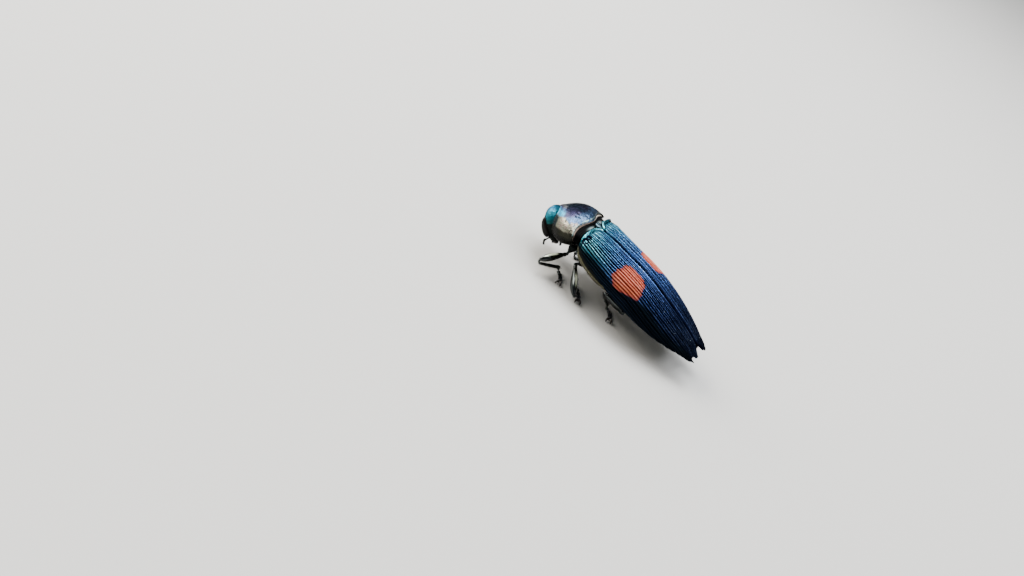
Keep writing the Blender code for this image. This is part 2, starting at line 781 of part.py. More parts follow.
def build():
    for old in list(bpy.data.objects):
        bpy.data.objects.remove(old)
    stance = empty("stance", location=SEAM_START, turn=-PITCH)
    prothorax_frame = empty("prothorax_frame", stance, PROTHORAX_HINGE, PROTHORAX_BEND)
    head_frame = empty("head_frame", prothorax_frame, HEAD_CENTRE, HEAD_BEND)
    for side in ("left", "right"):
        wing_case(side, stance)
    scutellum(stance)
    collar = [collar_ring(COLLAR_STATIONS[0], 0.25 * MM)]
    collar += [collar_ring(values) for values in COLLAR_STATIONS]
    middle = trunk_piece("mesothorax", *MESOTHORAX_SPAN, 2, stance, collar)
    rear = trunk_piece("metathorax", *METATHORAX_SPAN, 4, stance)
    ventrites = [
        trunk_piece(f"abdomen_{k + 1}", VENTRITE_ENDS[k], VENTRITE_ENDS[k + 1], 1, stance)
        for k in range(len(VENTRITE_ENDS) - 1)
    ]
    front = prothorax(prothorax_frame)
    skull = head(head_frame)
    eyes(head_frame, skull)
    mouthparts(head_frame)
    antennae(head_frame)
    bpy.context.view_layer.update()
    to_world = stance.matrix_world.copy()
    plates = {"front": [front], "middle": [middle, rear], "hind": [rear, ventrites[0]]}
    for name, line in LEGS.items():
        leg(name, line, to_world, plates[name.split("_")[0]])


build()
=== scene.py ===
"""Dresses a life-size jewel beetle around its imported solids, and stands it on a pale studio floor.

Sizes are in millimetres and angles in degrees unless a name says otherwise. The body frame has its
origin at the front end of the wing-case seam, +Y to the tail, +Z up and +X to the beetle's left.
"""

import logging
import math
from dataclasses import dataclass, field, replace
from enum import Enum
from typing import Callable, Sequence, Union

import bmesh
import bpy
import numpy as np
from bpy.types import ColorRamp, Material, Mesh, Node, NodeSocket, NodeTree, Object
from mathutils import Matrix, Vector


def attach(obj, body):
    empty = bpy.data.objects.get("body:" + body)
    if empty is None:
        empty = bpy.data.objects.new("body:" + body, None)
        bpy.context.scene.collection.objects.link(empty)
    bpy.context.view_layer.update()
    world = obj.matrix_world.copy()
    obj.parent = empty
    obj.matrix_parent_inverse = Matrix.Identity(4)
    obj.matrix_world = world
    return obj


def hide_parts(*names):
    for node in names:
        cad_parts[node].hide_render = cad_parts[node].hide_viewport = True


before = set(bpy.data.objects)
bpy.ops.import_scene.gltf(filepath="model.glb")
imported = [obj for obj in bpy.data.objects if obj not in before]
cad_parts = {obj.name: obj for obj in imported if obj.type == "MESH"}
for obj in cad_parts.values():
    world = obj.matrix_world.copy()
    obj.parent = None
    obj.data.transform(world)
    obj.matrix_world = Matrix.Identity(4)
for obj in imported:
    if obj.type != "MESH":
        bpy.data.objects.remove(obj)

LOG = logging.getLogger("jewel_beetle")
BODY = "root"
MM = 0.001
WORLD = np.eye(4)
ACROSS = (1.0, 0.0, 0.0)
# factors for a cell's two places, the seed and their wave, which together make a random number
SCRAMBLE = (127.1, 311.7, 74.7, 43758.5453)
Array = np.ndarray
Number = Union[float, "Value"]
Colour = tuple[float, float, float]


class Slot(str, Enum):
    """The record's material slots."""

    SHELL = "shell_blue"
    PROTHORAX = "prothorax_blue"
    UNDERSIDE = "underside_bronze"
    LEG = "leg_green"
    EYE = "eye_brown"
    HORN = "claw_horn"
    SKIN = "joint_skin"
    HAIR = "pale_hair"


class Side(Enum):
    """The beetle's two sides, each with the sign of its x."""

    LEFT = 1
    RIGHT = -1

    @property
    def word(self) -> str:
        """The side's name in a piece's name."""
        return self.name.lower()


# Places and turns


def moved(offset: Sequence[float]) -> Array:
    """A 4 by 4 shift along x, y and z."""
    return np.block([[np.eye(3), np.reshape(offset, (3, 1))], [np.zeros(3), np.ones(1)]])


def tipped(degrees: float) -> Array:
    """A 4 by 4 turn about the x axis, positive from +y to +z."""
    cos, sin = math.cos(math.radians(degrees)), math.sin(math.radians(degrees))
    return np.array([[1.0, 0.0, 0.0, 0.0], [0.0, cos, -sin, 0.0], [0.0, sin, cos, 0.0], [0.0, 0.0, 0.0, 1.0]])


@dataclass(frozen=True)
class Stance:
    """How the body, the prothorax and the head stand over the floor."""

    seam_start: tuple = (0.0, -8.28, 10.56)
    pitch: float = 10.76
    hinge: tuple = (0.0, -1.5, -2.2)
    prothorax_bend: float = 40.0
    head_centre: tuple = (0.0, -5.65, -0.85)
    head_bend: float = 14.0
    floor_drop: float = 10.75

    @property
    def body(self) -> Array:
        """The body frame in the world."""
        return moved(self.seam_start) @ tipped(-self.pitch)

    @property
    def prothorax(self) -> Array:
        """The prothorax frame in the world."""
        return self.body @ moved(self.hinge) @ tipped(self.prothorax_bend)

    @property
    def head(self) -> Array:
        """The head frame in the world."""
        return self.prothorax @ moved(self.head_centre) @ tipped(self.head_bend)

    def on_floor(self, x: float, y: float) -> Array:
        """A body-frame place across and along the body, dropped onto the floor, in the world."""
        height = math.tan(math.radians(self.pitch)) * y - self.floor_drop
        return to_world(self.body, np.array([[x, y, height]]))[0] * (1.0, 1.0, 0.0)


def to_world(matrix: Array, points: Array) -> Array:
    """Points of a frame, as rows of xyz in any shape ahead of that, taken to the world."""
    return points @ matrix[:3, :3].T + matrix[:3, 3]


# Curves and patterns


def profile(stations: Sequence[Sequence[float]], at: Array) -> list[Array]:
    """The values of stations at many places, on smooth curves through them.

    Args:
        stations: rows of a place and its values.
        at: the places asked for.

    Returns:
        One array for each value.
    """
    table = np.array(stations, float)
    places = table[:, 0]
    at = np.clip(np.asarray(at, float), places[0], places[-1])
    index = np.clip(np.searchsorted(places, at, side="left") - 1, 0, len(places) - 2)
    span = places[index + 1] - places[index]
    t = (at - places[index]) / span
    steps = np.arange(len(places))
    low, high = np.maximum(steps - 1, 0), np.minimum(steps + 1, len(places) - 1)
    values = []
    for column in table[:, 1:].T:
        slope = (column[high] - column[low]) / (places[high] - places[low])
        start = (2 * t**3 - 3 * t**2 + 1) * column[index] + (t**3 - 2 * t**2 + t) * slope[index] * span
        end = (3 * t**2 - 2 * t**3) * column[index + 1] + (t**3 - t**2) * slope[index + 1] * span
        values.append(start + end)
    return values


def power(value: Array, exponent: float) -> Array:
    """A signed power."""
    return np.sign(value) * np.abs(value) ** exponent


def squarish(angle: Array, square: float) -> tuple[Array, Array]:
    """The shares across and up of a rounded ring at some angles: 2 is an ellipse, more is squarer."""
    return power(np.cos(angle), 2 / square), power(np.sin(angle), 2 / square)


def ring_angles(columns: int) -> Array:
    """The angles of a ring's columns, as a row."""
    return np.linspace(0, 2 * math.pi, columns, endpoint=False)[None, :]


def unit(vector: Array) -> Array:
    """Vectors along the last axis, brought to length one."""
    return vector / np.linalg.norm(vector, axis=-1, keepdims=True)


def bump(distance: Array, width: float) -> Array:
    """A bell of height one over a distance."""
    return np.exp(-((distance / width) ** 2))


def mound(x: Array, y: Array, shape: Sequence[float]) -> Array:
    """A bell of height one over a plane, shaped by its middle and width along x and then along y."""
    middle_x, width, middle_y, length = shape
    return np.exp(-(((x - middle_x) / width) ** 2) - ((y - middle_y) / length) ** 2)


def smooth(value: Array, low: float, high: float) -> Array:
    """A soft step from 0 at low to 1 at high."""
    t = np.clip((value - low) / (high - low), 0.0, 1.0)
    return t * t * (3 - 2 * t)


def scatter(cell_x: Array, cell_y: Array, seed: float) -> Array:
    """A fixed random number from 0 to 1 for each cell of a grid."""
    wave = np.sin(cell_x * SCRAMBLE[0] + cell_y * SCRAMBLE[1] + seed * SCRAMBLE[2]) * SCRAMBLE[3]
    return wave - np.floor(wave)


def waves(x: Array, y: Array, seed: float) -> Array:
    """Soft random relief from -1 to 1 over a plane, one swell for each unit.

    Args:
        x: places along one direction.
        y: places along the other.
        seed: which relief.

    Returns:
        The height at each place.
    """
    cell_x, cell_y = np.floor(x), np.floor(y)
    fx, fy = x - cell_x, y - cell_y
    fx, fy = fx * fx * (3 - 2 * fx), fy * fy * (3 - 2 * fy)
    total = 0.0
    for dx in (0, 1):
        for dy in (0, 1):
            share = (fx if dx else 1 - fx) * (fy if dy else 1 - fy)
            total = total + share * scatter(cell_x + dx, cell_y + dy, seed)
    return 2 * total - 1


def pits(x: Array, y: Array, spacing: float, radius: float, seed: float) -> Array:
    """Small round pits scattered over a surface, one in each cell.

    Args:
        x: places along one direction, in millimetres.
        y: places along the other.
        spacing: width of a cell.
        radius: radius of a pit.
        seed: which scatter.

    Returns:
        The depth at each place, from 0 to 1.
    """
    x, y = x / spacing, y / spacing
    cell_x, cell_y = np.floor(x), np.floor(y)
    depth = np.zeros(np.broadcast(x, y).shape)
    for dx in (-1, 0, 1):
        for dy in (-1, 0, 1):
            near_x, near_y = cell_x + dx, cell_y + dy
            centre_x = near_x + 0.2 + 0.6 * scatter(near_x, near_y, seed)
            centre_y = near_y + 0.2 + 0.6 * scatter(near_x, near_y, seed + 5.3)
            size = radius / spacing * (0.7 + 0.5 * scatter(near_x, near_y, seed + 9.1))
            away = ((x - centre_x) ** 2 + (y - centre_y) ** 2) / size**2
            depth = np.maximum(depth, np.exp(-away * 1.2))
    return depth


def arc_lengths(points: Array) -> Array:
    """The length along each row of points, from its first point."""
    steps = np.linalg.norm(np.diff(points, axis=1), axis=2)
    return np.concatenate([np.zeros((len(points), 1)), np.cumsum(steps, axis=1)], axis=1)


# Shader and geometry trees


class Tree:
    """A node tree that is filled through one method."""

    def __init__(self, tree: NodeTree) -> None:
        """Takes an empty tree."""
        self.tree = tree

    def node(self, kind: str, settings: dict | None = None, inputs: dict | None = None) -> Node:
        """Adds a node.

        Args:
            kind: the node's type.
            settings: its properties, or the stops of a ramp, set before its sockets.
            inputs: values or links of its sockets, by name or number.

        Returns:
            The node.
        """
        made = self.tree.nodes.new(kind)
        for name, value in (settings or {}).items():
            if name == "stops":
                self.set_stops(made.color_ramp, value)
            else:
                setattr(made, name, value)
        for name, value in (inputs or {}).items():
            self.feed(made.inputs[name], value)
        return made

    @staticmethod
    def set_stops(ramp: ColorRamp, stops: Sequence[tuple[float, Colour]]) -> None:
        """Gives a ramp its stops.

        Args:
            ramp: the ramp.
            stops: pairs of a place and a colour.
        """
        while len(ramp.elements) < len(stops):
            ramp.elements.new(1.0)
        for element, (place, colour) in zip(ramp.elements, stops):
            element.position = place
            element.color = (*colour, 1.0)

    def feed(self, socket: NodeSocket, value: object) -> None:
        """Links or sets one socket.

        Args:
            socket: the socket.
            value: its value or its link; a node stands for its first output.
        """
        if isinstance(value, Value):
            value = value.socket
        elif isinstance(value, Node):
            value = value.outputs[0]
        if isinstance(value, NodeSocket):
            self.tree.links.new(value, socket)
        elif socket.type == "RGBA" and len(value) == 3:
            socket.default_value = (*value, 1.0)
        else:
            socket.default_value = value

    def value(self, node: Node, output: Union[str, int] = 0) -> "Value":
        """A node's output as a value for arithmetic."""
        return Value(self, node.outputs[output])


def operator(operation: str, reflected: bool = False) -> Callable:
    """A method that joins a value and another number in a Math node.

    Args:
        operation: the node's operation.
        reflected: whether the other number comes first.

    Returns:
        The method.
    """

    def method(self: "Value", other: Number) -> "Value":
        """The operation's result."""
        return self.maths(operation, *((other, self) if reflected else (self, other)))

    return method


class Value:
    """A number that varies over a surface, with Python's arithmetic."""

    def __init__(self, tree: Tree, socket: NodeSocket) -> None:
        """Wraps a socket of a tree."""
        self.tree = tree
        self.socket = socket

    def maths(self, operation: str, *numbers: Number) -> "Value":
        """The result of a Math node over some numbers, in order."""
        node = self.tree.node("ShaderNodeMath", {"operation": operation}, dict(enumerate(numbers)))
        return self.tree.value(node)

    __add__ = __radd__ = operator("ADD")
    __mul__ = __rmul__ = operator("MULTIPLY")
    __sub__ = operator("SUBTRACT")
    __rsub__ = operator("SUBTRACT", reflected=True)
    __truediv__ = operator("DIVIDE")

    def soft_step(self, low: float, high: float) -> "Value":
        """A soft step from 0 at low to 1 at high."""
        settings = {"interpolation_type": "SMOOTHSTEP"}
        return self.tree.value(self.tree.node("ShaderNodeMapRange", settings, {0: self, 1: low, 2: high}))


class Shader(Tree):
    """A material's tree around one Principled shader."""

    def __init__(self, name: str) -> None:
        """Makes the material and its shader.

        Args:
            name: the material's name.
        """
        self.material = bpy.data.materials.new(name)
        self.material.use_nodes = True
        super().__init__(self.material.node_tree)
        self.surface = self.tree.nodes["Principled BSDF"]

    def number(self, name: str) -> Value:
        """A number that the mesh carries."""
        node = self.node("ShaderNodeAttribute", {"attribute_name": name, "attribute_type": "GEOMETRY"})
        return self.value(node, "Fac")

    def millimetres(self) -> Node:
        """The object's own coordinates in millimetres."""
        where = self.node("ShaderNodeTexCoord").outputs["Object"]
        return self.node("ShaderNodeVectorMath", {"operation": "SCALE"}, {0: where, "Scale": 1 / MM})

    def noise(self, scale: float, detail: float = 3.0, stretch: Colour = (1.0, 1.0, 1.0)) -> Value:
        """Soft noise from 0 to 1.

        Args:
            scale: swells for each millimetre.
            detail: finer octaves.
            stretch: how much finer it is along x, y and z.

        Returns:
            The noise.
        """
        where = self.node("ShaderNodeMapping", None, {0: self.millimetres(), "Scale": stretch})
        return self.value(
            self.node("ShaderNodeTexNoise", None, {"Vector": where, "Scale": scale, "Detail": detail}), "Fac"
        )

    def pores(self, scale: float) -> Value:
        """Distance to scattered points, from 0 at a point, in cells of a size."""
        inputs = {"Vector": self.millimetres(), "Scale": scale}
        return self.value(self.node("ShaderNodeTexVoronoi", None, inputs), "Distance")

    def ramp(self, by: Value, stops: Sequence[tuple[float, Colour]]) -> Node:
        """A colour that follows a number through some stops."""
        return self.node("ShaderNodeValToRGB", {"stops": stops}, {0: by})

    def mix(self, share: Number, first: object, second: object) -> NodeSocket:
        """The first colour with a share of the second over it."""
        return self.node("ShaderNodeMix", {"data_type": "RGBA"}, {0: share, 6: first, 7: second}).outputs[2]

    def layers(self, base: object, *over: tuple[Number, object]) -> NodeSocket:
        """Colours laid over a base.

        Args:
            base: the colour below.
            over: the share and colour of each layer, in order.

        Returns:
            The colour of them all.
        """
        for share, colour in over:
            base = self.mix(share, base, colour)
        return base

    def relief(self, height: Value, depth: float) -> NodeSocket:
        """A bumped normal from a height of 0 to 1, for a depth in millimetres."""
        inputs = {"Strength": 1.0, "Distance": depth * MM, "Height": height}
        return self.node("ShaderNodeBump", None, inputs).outputs["Normal"]

    def set(self, **sockets: object) -> None:
        """Links or sets the Principled shader's sockets, with _ for a space in a name."""
        for name, value in sockets.items():
            self.feed(self.surface.inputs[name.replace("_", " ")], value)


class GeometryTree(Tree):
    """A geometry node tree with named inputs, run once on a mesh."""

    def __init__(self, name: str, inputs: Sequence[tuple[str, str]]) -> None:
        """Makes the tree.

        Args:
            name: the tree's name.
            inputs: the name and socket type of each input after the geometry.
        """
        super().__init__(bpy.data.node_groups.new(name, "GeometryNodeTree"))
        face = self.tree.interface
        face.new_socket("Geometry", in_out="INPUT", socket_type="NodeSocketGeometry")
        self.keys = {}
        for title, kind in inputs:
            self.keys[title] = face.new_socket(title, in_out="INPUT", socket_type=kind).identifier
        face.new_socket("Geometry", in_out="OUTPUT", socket_type="NodeSocketGeometry")
        self.given = self.tree.nodes.new("NodeGroupInput")
        self.result = self.tree.nodes.new("NodeGroupOutput")

    def input(self, title: str) -> NodeSocket:
        """One of the tree's named inputs."""
        return self.given.outputs[title]

    def finish(self, geometry: Node) -> None:
        """Ends the tree: instances made real, dressed and put out.

        Args:
            geometry: the node whose first output is the shape.
        """
        real = self.node("GeometryNodeRealizeInstances", None, {0: geometry})
        dressed = self.node("GeometryNodeSetMaterial", None, {0: real, "Material": self.input("Material")})
        self.feed(self.result.inputs[0], dressed)

    def run(self, name: str, base: Mesh, values: dict) -> Mesh:
        """Runs the tree.

        Args:
            name: the new mesh's name.
            base: the mesh it starts from.
            values: the named inputs' values.

        Returns:
            The made mesh.
        """
        holder = bpy.data.objects.new(name + "_base", base)
        bpy.context.scene.collection.objects.link(holder)
        modifier = holder.modifiers.new("make", "NODES")
        modifier.node_group = self.tree
        for title, value in values.items():
            modifier[self.keys[title]] = value
        bpy.context.view_layer.update()
        made = bpy.data.meshes.new_from_object(holder.evaluated_get(bpy.context.evaluated_depsgraph_get()))
        bpy.data.objects.remove(holder)
        made.name = name
        return made


class FacetTree(GeometryTree):
    """A ball of unit radius covered with six-sided facets."""

    DETAIL = 5
    RISE = 0.018
    SIZE = 0.72

    def __init__(self) -> None:
        """Makes the tree."""
        numbers = [(name, "NodeSocketFloat") for name in ("Rise", "Facet Size")]
        super().__init__("eye_facets", [*numbers, ("Material", "NodeSocketMaterial")])
        ball = self.node("GeometryNodeMeshIcoSphere", None, {"Radius": 1.0, "Subdivisions": self.DETAIL})
        inputs = {
            "Mesh": self.node("GeometryNodeDualMesh", None, {0: ball}), "Offset Scale": self.input("Rise"),
            "Individual": True,
        }
        raised = self.node("GeometryNodeExtrudeMesh", {"mode": "FACES"}, inputs)
        inputs = {0: raised, "Selection": raised.outputs["Top"], "Scale": self.input("Facet Size")}
        self.finish(self.node("GeometryNodeScaleElements", {"domain": "FACE"}, inputs))

    def mesh(self, name: str, material: Material) -> Mesh:
        """The faceted ball as a mesh."""
        values = {"Rise": self.RISE, "Facet Size": self.SIZE, "Material": material}
        return self.run(name, bpy.data.meshes.new(name), values)


class BristleTree(GeometryTree):
    """Short bristles scattered over the faces of a mesh that look low enough and aren't in its dark part."""

    SEED = 7
    LEAST = 0.55
    MOST = 1.15
    SIDES = 5
    DARK = 0.5

    def __init__(self) -> None:
        """Makes the tree."""
        inputs = [(name, "NodeSocketFloat") for name in ("Density", "Length", "Thickness", "Highest")]
        inputs += [("Lie", "NodeSocketVector"), ("Material", "NodeSocketMaterial")]
        super().__init__("bristles", inputs)
        less = {"data_type": "FLOAT", "operation": "LESS_THAN"}
        slope = self.node("ShaderNodeSeparateXYZ", None, {0: self.node("GeometryNodeInputNormal")})
        low = self.node("FunctionNodeCompare", less, {0: slope.outputs[2], 1: self.input("Highest")})
        shade = self.node("GeometryNodeInputNamedAttribute", {"data_type": "FLOAT"}, {"Name": "flank"})
        bright = self.node("FunctionNodeCompare", less, {0: shade, 1: self.DARK})
        wanted = self.node("FunctionNodeBooleanMath", {"operation": "AND"}, {0: low, 1: bright})
        inputs = {0: self.given, "Selection": wanted, "Density": self.input("Density"), "Seed": self.SEED}
        spread = self.node("GeometryNodeDistributePointsOnFaces", {"distribute_method": "RANDOM"}, inputs)
        settings = {"data_type": "FLOAT_VECTOR", "domain": "POINT"}
        inputs = {0: spread, "Name": "root", 3: self.node("GeometryNodeInputPosition")}
        rooted = self.node("GeometryNodeStoreNamedAttribute", settings, inputs)
        inputs = {0: spread.outputs["Normal"], 1: self.input("Lie")}
        lean = self.node("ShaderNodeVectorMath", {"operation": "ADD"}, inputs)
        turn = self.node("FunctionNodeAlignRotationToVector", {"axis": "Z"}, {"Vector": lean})
        inputs = {
            "Vertices": self.SIDES, "Radius Top": 0.0, "Radius Bottom": self.input("Thickness"),
            "Depth": self.input("Length"),
        }
        hair = self.node("GeometryNodeMeshCone", {"fill_type": "NGON"}, inputs)
        inputs = {2: self.LEAST, 3: self.MOST, "Seed": self.SEED}
        size = self.node("FunctionNodeRandomValue", {"data_type": "FLOAT"}, inputs)
        inputs = {0: rooted, "Instance": hair, "Rotation": turn, "Scale": size.outputs[1]}
        self.finish(self.node("GeometryNodeInstanceOnPoints", None, inputs))


# Finishes


@dataclass(frozen=True)
class Finish:
    """A finish by name, made into a material once, with the record's slot of what it dresses."""

    name: str
    slot: Slot | None

    def paint(self, shader: Shader) -> None:
        """Fills the material's shader; each finish has its own way."""
        raise NotImplementedError

    def material(self) -> Material:
        """The material, made at its first use.

        Returns:
            The material.
        """
        found = bpy.data.materials.get(self.name)
        if found:
            return found
        shader = Shader(self.name)
        self.paint(shader)
        return shader.material


@dataclass(frozen=True)
class WingCaseFinish(Finish):
    """Bright metal ribs between black grooves, dark on the flank and the tail, with one orange spot. The
    flank's near-black is painted shade, the ribs' brightness is partly painted highlight and the grooves'
    black is partly painted shade.
    """

    ground: tuple = (
        (0.0, (0.01, 0.082, 0.13)), (0.1, (0.007, 0.042, 0.135)), (0.25, (0.006, 0.028, 0.13)),
        (0.42, (0.005, 0.018, 0.092)), (0.54, (0.003, 0.0085, 0.034)), (0.66, (0.0015, 0.0035, 0.012)),
        (0.82, (0.0008, 0.0012, 0.003)),
    )
    # the ribs' lighter colour: partly their own colour, partly painted highlight
    ridge: tuple = (
        (0.0, (0.2, 0.74, 0.86)), (0.1, (0.15, 0.47, 0.76)), (0.25, (0.125, 0.31, 0.7)),
        (0.42, (0.1, 0.23, 0.6)), (0.56, (0.066, 0.125, 0.35)), (0.72, (0.04, 0.062, 0.15)),
        (0.92, (0.014, 0.02, 0.038)),
    )
    # painted sheen: pale cyan laid over the shoulder and along the base rim
    shoulder: Colour = (0.014, 0.19, 0.25)
    shoulder_ridge: Colour = (0.34, 0.9, 0.92)
    # painted shade: the near-black of the flank
    flank: Colour = (0.002, 0.0036, 0.0055)
    # the black of the seam, the dimples and the groove behind the base rim is painted shade; in the grooves
    # and pits it is partly their own colour, partly painted shade
    groove: Colour = (0.0008, 0.0016, 0.006)
    orange: Colour = (0.48, 0.08, 0.032)
    # the spot's lighter ribs: partly their own colour, partly painted highlight
    orange_ridge: Colour = (0.78, 0.26, 0.17)
    amber: Colour = (0.3, 0.056, 0.008)
    # the spot's dark grooves: partly their own colour, partly painted shade
    orange_groove: Colour = (0.11, 0.012, 0.006)
    plum: Colour = (0.16, 0.014, 0.03)
    glint: Colour = (0.5, 0.62, 0.66)
    length: float = 27.0

    def paint(self, shader: Shader) -> None:
        """Fills the shader.

        Args:
            shader: the material's shader.
        """
        groove = shader.number("groove")
        flank = shader.number("flank")
        along = shader.number("along") / self.length
        cloud = shader.noise(0.5, 2.0)
        fine = shader.noise(7.0, 4.0)
        streak = shader.noise(1.6, 3.0, (3.0, 0.5, 3.0))
        # crest lightens the ribs: partly their own colour, partly painted highlight
        crest = shader.number("crest") * (0.45 + 0.55 * shader.noise(4.0, 2.0).soft_step(0.36, 0.58))
        place = along + (cloud - 0.5) * 0.12
        glint = shader.noise(2.6, 2.0).soft_step(0.66, 0.71) * crest * flank.soft_step(0.75, 0.6)
        # painted shade: the flank's near-black, laid over the metal
        dark = (flank + (cloud - 0.5) * 0.1 + (fine - 0.5) * 0.1).soft_step(0.74, 0.84)
        metal = shader.layers(
            shader.ramp(place, self.ground),
            (crest, shader.ramp(place, self.ridge)),
            # painted sheen on the shoulder and along the base rim
            (shader.number("shoulder"), shader.mix(crest, self.shoulder, self.shoulder_ridge)),
            (streak.soft_step(0.5, 0.34) * 0.4, self.groove),
            (glint * 0.85, self.glint),
            # painted shade in the seam and dimples, and partly in the grooves and pits
            (groove, self.groove),
            # painted shade on the flank
            (dark * 0.96, self.flank),
        )
        edge = shader.number("spot") + (fine - 0.5) * 0.24 + (streak - 0.5) * 0.4
        spot = edge.soft_step(-0.06, 0.06)
        orange = shader.layers(
            self.orange,
            (flank.soft_step(0.5, 0.78), self.amber),
            (crest * 0.85, self.orange_ridge),
            (edge.soft_step(0.55, 0.05) * 0.55, self.plum),
            ((groove * 1.2 - 0.2) * 0.9, self.orange_groove),
        )
        shine = (1 - dark * 0.8) * (1 - along.soft_step(0.35, 0.68) * 0.8)
        shader.set(
            Base_Color=shader.mix(spot, metal, orange),
            Metallic=0.95 - spot * 0.9,
            Roughness=0.25 + groove * 0.25 - crest * 0.05 + (fine - 0.5) * 0.16 + spot * 0.12,
            Normal=shader.relief(shader.pores(9.0).soft_step(0.0, 0.45), 0.012),
            Coat_Weight=0.2 * shine * (1 - groove * 0.9),
            Coat_Roughness=0.14,
            Specular_Tint=(0.06, 0.1, 0.18, 1.0),
        )


@dataclass(frozen=True)
class PlateFinish(Finish):
    """Shiny metal plate with fine pits, its colour drifting from one tone to another."""

    first: Colour
    second: Colour
    third: Colour
    low: Colour
    roughness: float = 0.22
    coat: float = 0.3
    pore_scale: float = 6.0
    pore_depth: float = 0.02
    edge: Colour = (0.25, 0.28, 0.3)
    middle: float = 0.5
    pore_shade: float = 0.4
    dark: Colour = (0.004, 0.005, 0.006)

    def tone(self, shader: Shader) -> NodeSocket:
        """The plate's colour before its pits.

        Args:
            shader: the material's shader.

        Returns:
            The colour.
        """
        cloud = shader.noise(0.35, 2.0)
        stops = ((0.0, self.first), (self.middle, self.second), (min(2 * self.middle, 1.0), self.third))
        tone = shader.ramp(shader.number("along") + (cloud - 0.5) * 0.35, stops)
        low = (shader.number("flank") + (cloud - 0.5) * 0.1).soft_step(0.5, 0.75)
        return shader.mix(low, tone, self.low)

    def paint(self, shader: Shader) -> None:
        """Fills the shader.

        Args:
            shader: the material's shader.
        """
        fine = shader.noise(6.0, 4.0)
        groove = shader.number("groove")
        pores = shader.pores(self.pore_scale).soft_step(0.05, 0.4)
        tone = shader.mix(groove * 0.7, self.tone(shader), self.dark)
        shader.set(
            Base_Color=shader.mix((1 - pores) * self.pore_shade, tone, self.dark),
            Metallic=0.92,
            Roughness=self.roughness + (fine - 0.5) * 0.14 + groove * 0.2,
            Normal=shader.relief(pores, self.pore_depth),
            Coat_Weight=self.coat,
            Coat_Roughness=0.1,
            Specular_Tint=(*self.edge, 1.0),
        )


@dataclass(frozen=True)
class ShieldFinish(PlateFinish):
    """The prothorax's metal: violet on top, blue-green in front, black below, with a painted pale reflection
    at the side.
    """

    # painted reflection: the pale patch on the shield's side and its pink mottling
    side: Colour = (0.185, 0.182, 0.14)
    blush: Colour = (0.2, 0.16, 0.135)
    sheen: Colour = (0.06, 0.105, 0.19)
    olive: Colour = (0.01, 0.03, 0.036)
    slate: Colour = (0.017, 0.017, 0.011)
    hind: Colour = (0.012, 0.04, 0.06)
    glint: Colour = (0.2, 0.3, 0.3)

    def tone(self, shader: Shader) -> NodeSocket:
        """The shield's colour before its pits.

        Args:
            shader: the material's shader.

        Returns:
            The colour.
        """
        cloud = shader.noise(0.45, 3.0)
        fine = shader.noise(1.8, 3.0)
        flank = shader.number("flank") + (cloud - 0.5) * 0.08 + (fine - 0.5) * 0.08
        along = shader.number("along") + (cloud - 0.5) * 0.12 + (fine - 0.5) * 0.1
        ahead = along.soft_step(0.5, 0.76) * flank.soft_step(-0.23, -0.12)
        # painted reflection: the pale patch on the side, mottled pink
        side = shader.mix(fine.soft_step(0.45, 0.6), self.side, self.blush)
        return shader.layers(
            self.first,
            (cloud.soft_step(0.4, 0.6), self.second),
            (ahead, self.third),
            (flank.soft_step(-0.1, 0.0) * along.soft_step(0.55, 0.35), self.sheen),
            (along.soft_step(0.06, 0.01) * flank.soft_step(0.2, 0.05), self.hind),
            # the painted reflection on the side
            (flank.soft_step(-0.07, -0.01) * (along + flank * 1.8).soft_step(0.32, 0.42), side),
            (along.soft_step(0.74, 0.82) * flank.soft_step(-0.06, 0.02), self.olive),
            ((flank + along * 0.12).soft_step(0.33, 0.42), self.slate),
            (shader.number("shoulder") * fine.soft_step(0.42, 0.52), self.glint),
            (flank.soft_step(0.48, 0.66), self.low),
        )


@dataclass(frozen=True)
class CrownFinish(PlateFinish):
    """The head's metal, bluer at the very top."""

    top: Colour = (0.014, 0.08, 0.15)

    def tone(self, shader: Shader) -> NodeSocket:
        """The head's colour before its pits."""
        return shader.mix(shader.number("shoulder"), super().tone(shader), self.top)


@dataclass(frozen=True)
class UndersideFinish(PlateFinish):
    """The trunk's bronze, paler along the top of its flank."""

    pale: Colour = (0.26, 0.25, 0.17)

    def tone(self, shader: Shader) -> NodeSocket:
        """The underside's colour before its pits."""
        share = shader.number("shoulder") * shader.noise(2.0, 3.0).soft_step(0.3, 0.6)
        return shader.mix(share, super().tone(shader), self.pale)


@dataclass(frozen=True)
class LegFinish(PlateFinish):
    """The legs' dark metal, with a pale painted highlight along the top of the stout thighs."""

    # painted highlight: the pale streak laid along the top of the stout thighs
    glaze: Colour = (0.62, 0.68, 0.54)

    def tone(self, shader: Shader) -> NodeSocket:
        """The leg's colour before its pits."""
        return shader.mix(shader.number("shoulder"), super().tone(shader), self.glaze)

    def paint(self, shader: Shader) -> None:
        """Fills the shader."""
        super().paint(shader)
        # the painted highlight is made almost non-metallic so that it shows pale
        shader.set(Metallic=0.92 - shader.number("shoulder") * 0.8)


@dataclass(frozen=True)
class EyeFinish(Finish):
    """Glossy dark brown facets."""

    light: Colour = (0.006, 0.003, 0.0025)
    dark: Colour = (0.003, 0.002, 0.002)

    def paint(self, shader: Shader) -> None:
        """Fills the shader.

        Args:
            shader: the material's shader.
        """
        cloud = shader.noise(1.4, 3.0)
        shader.set(
            Base_Color=shader.mix(cloud.soft_step(0.35, 0.7), self.dark, self.light),
            Roughness=0.2 + cloud * 0.1,
            Specular_IOR_Level=0.16,
            Coat_Weight=0.06,
            Coat_Roughness=0.05,
        )


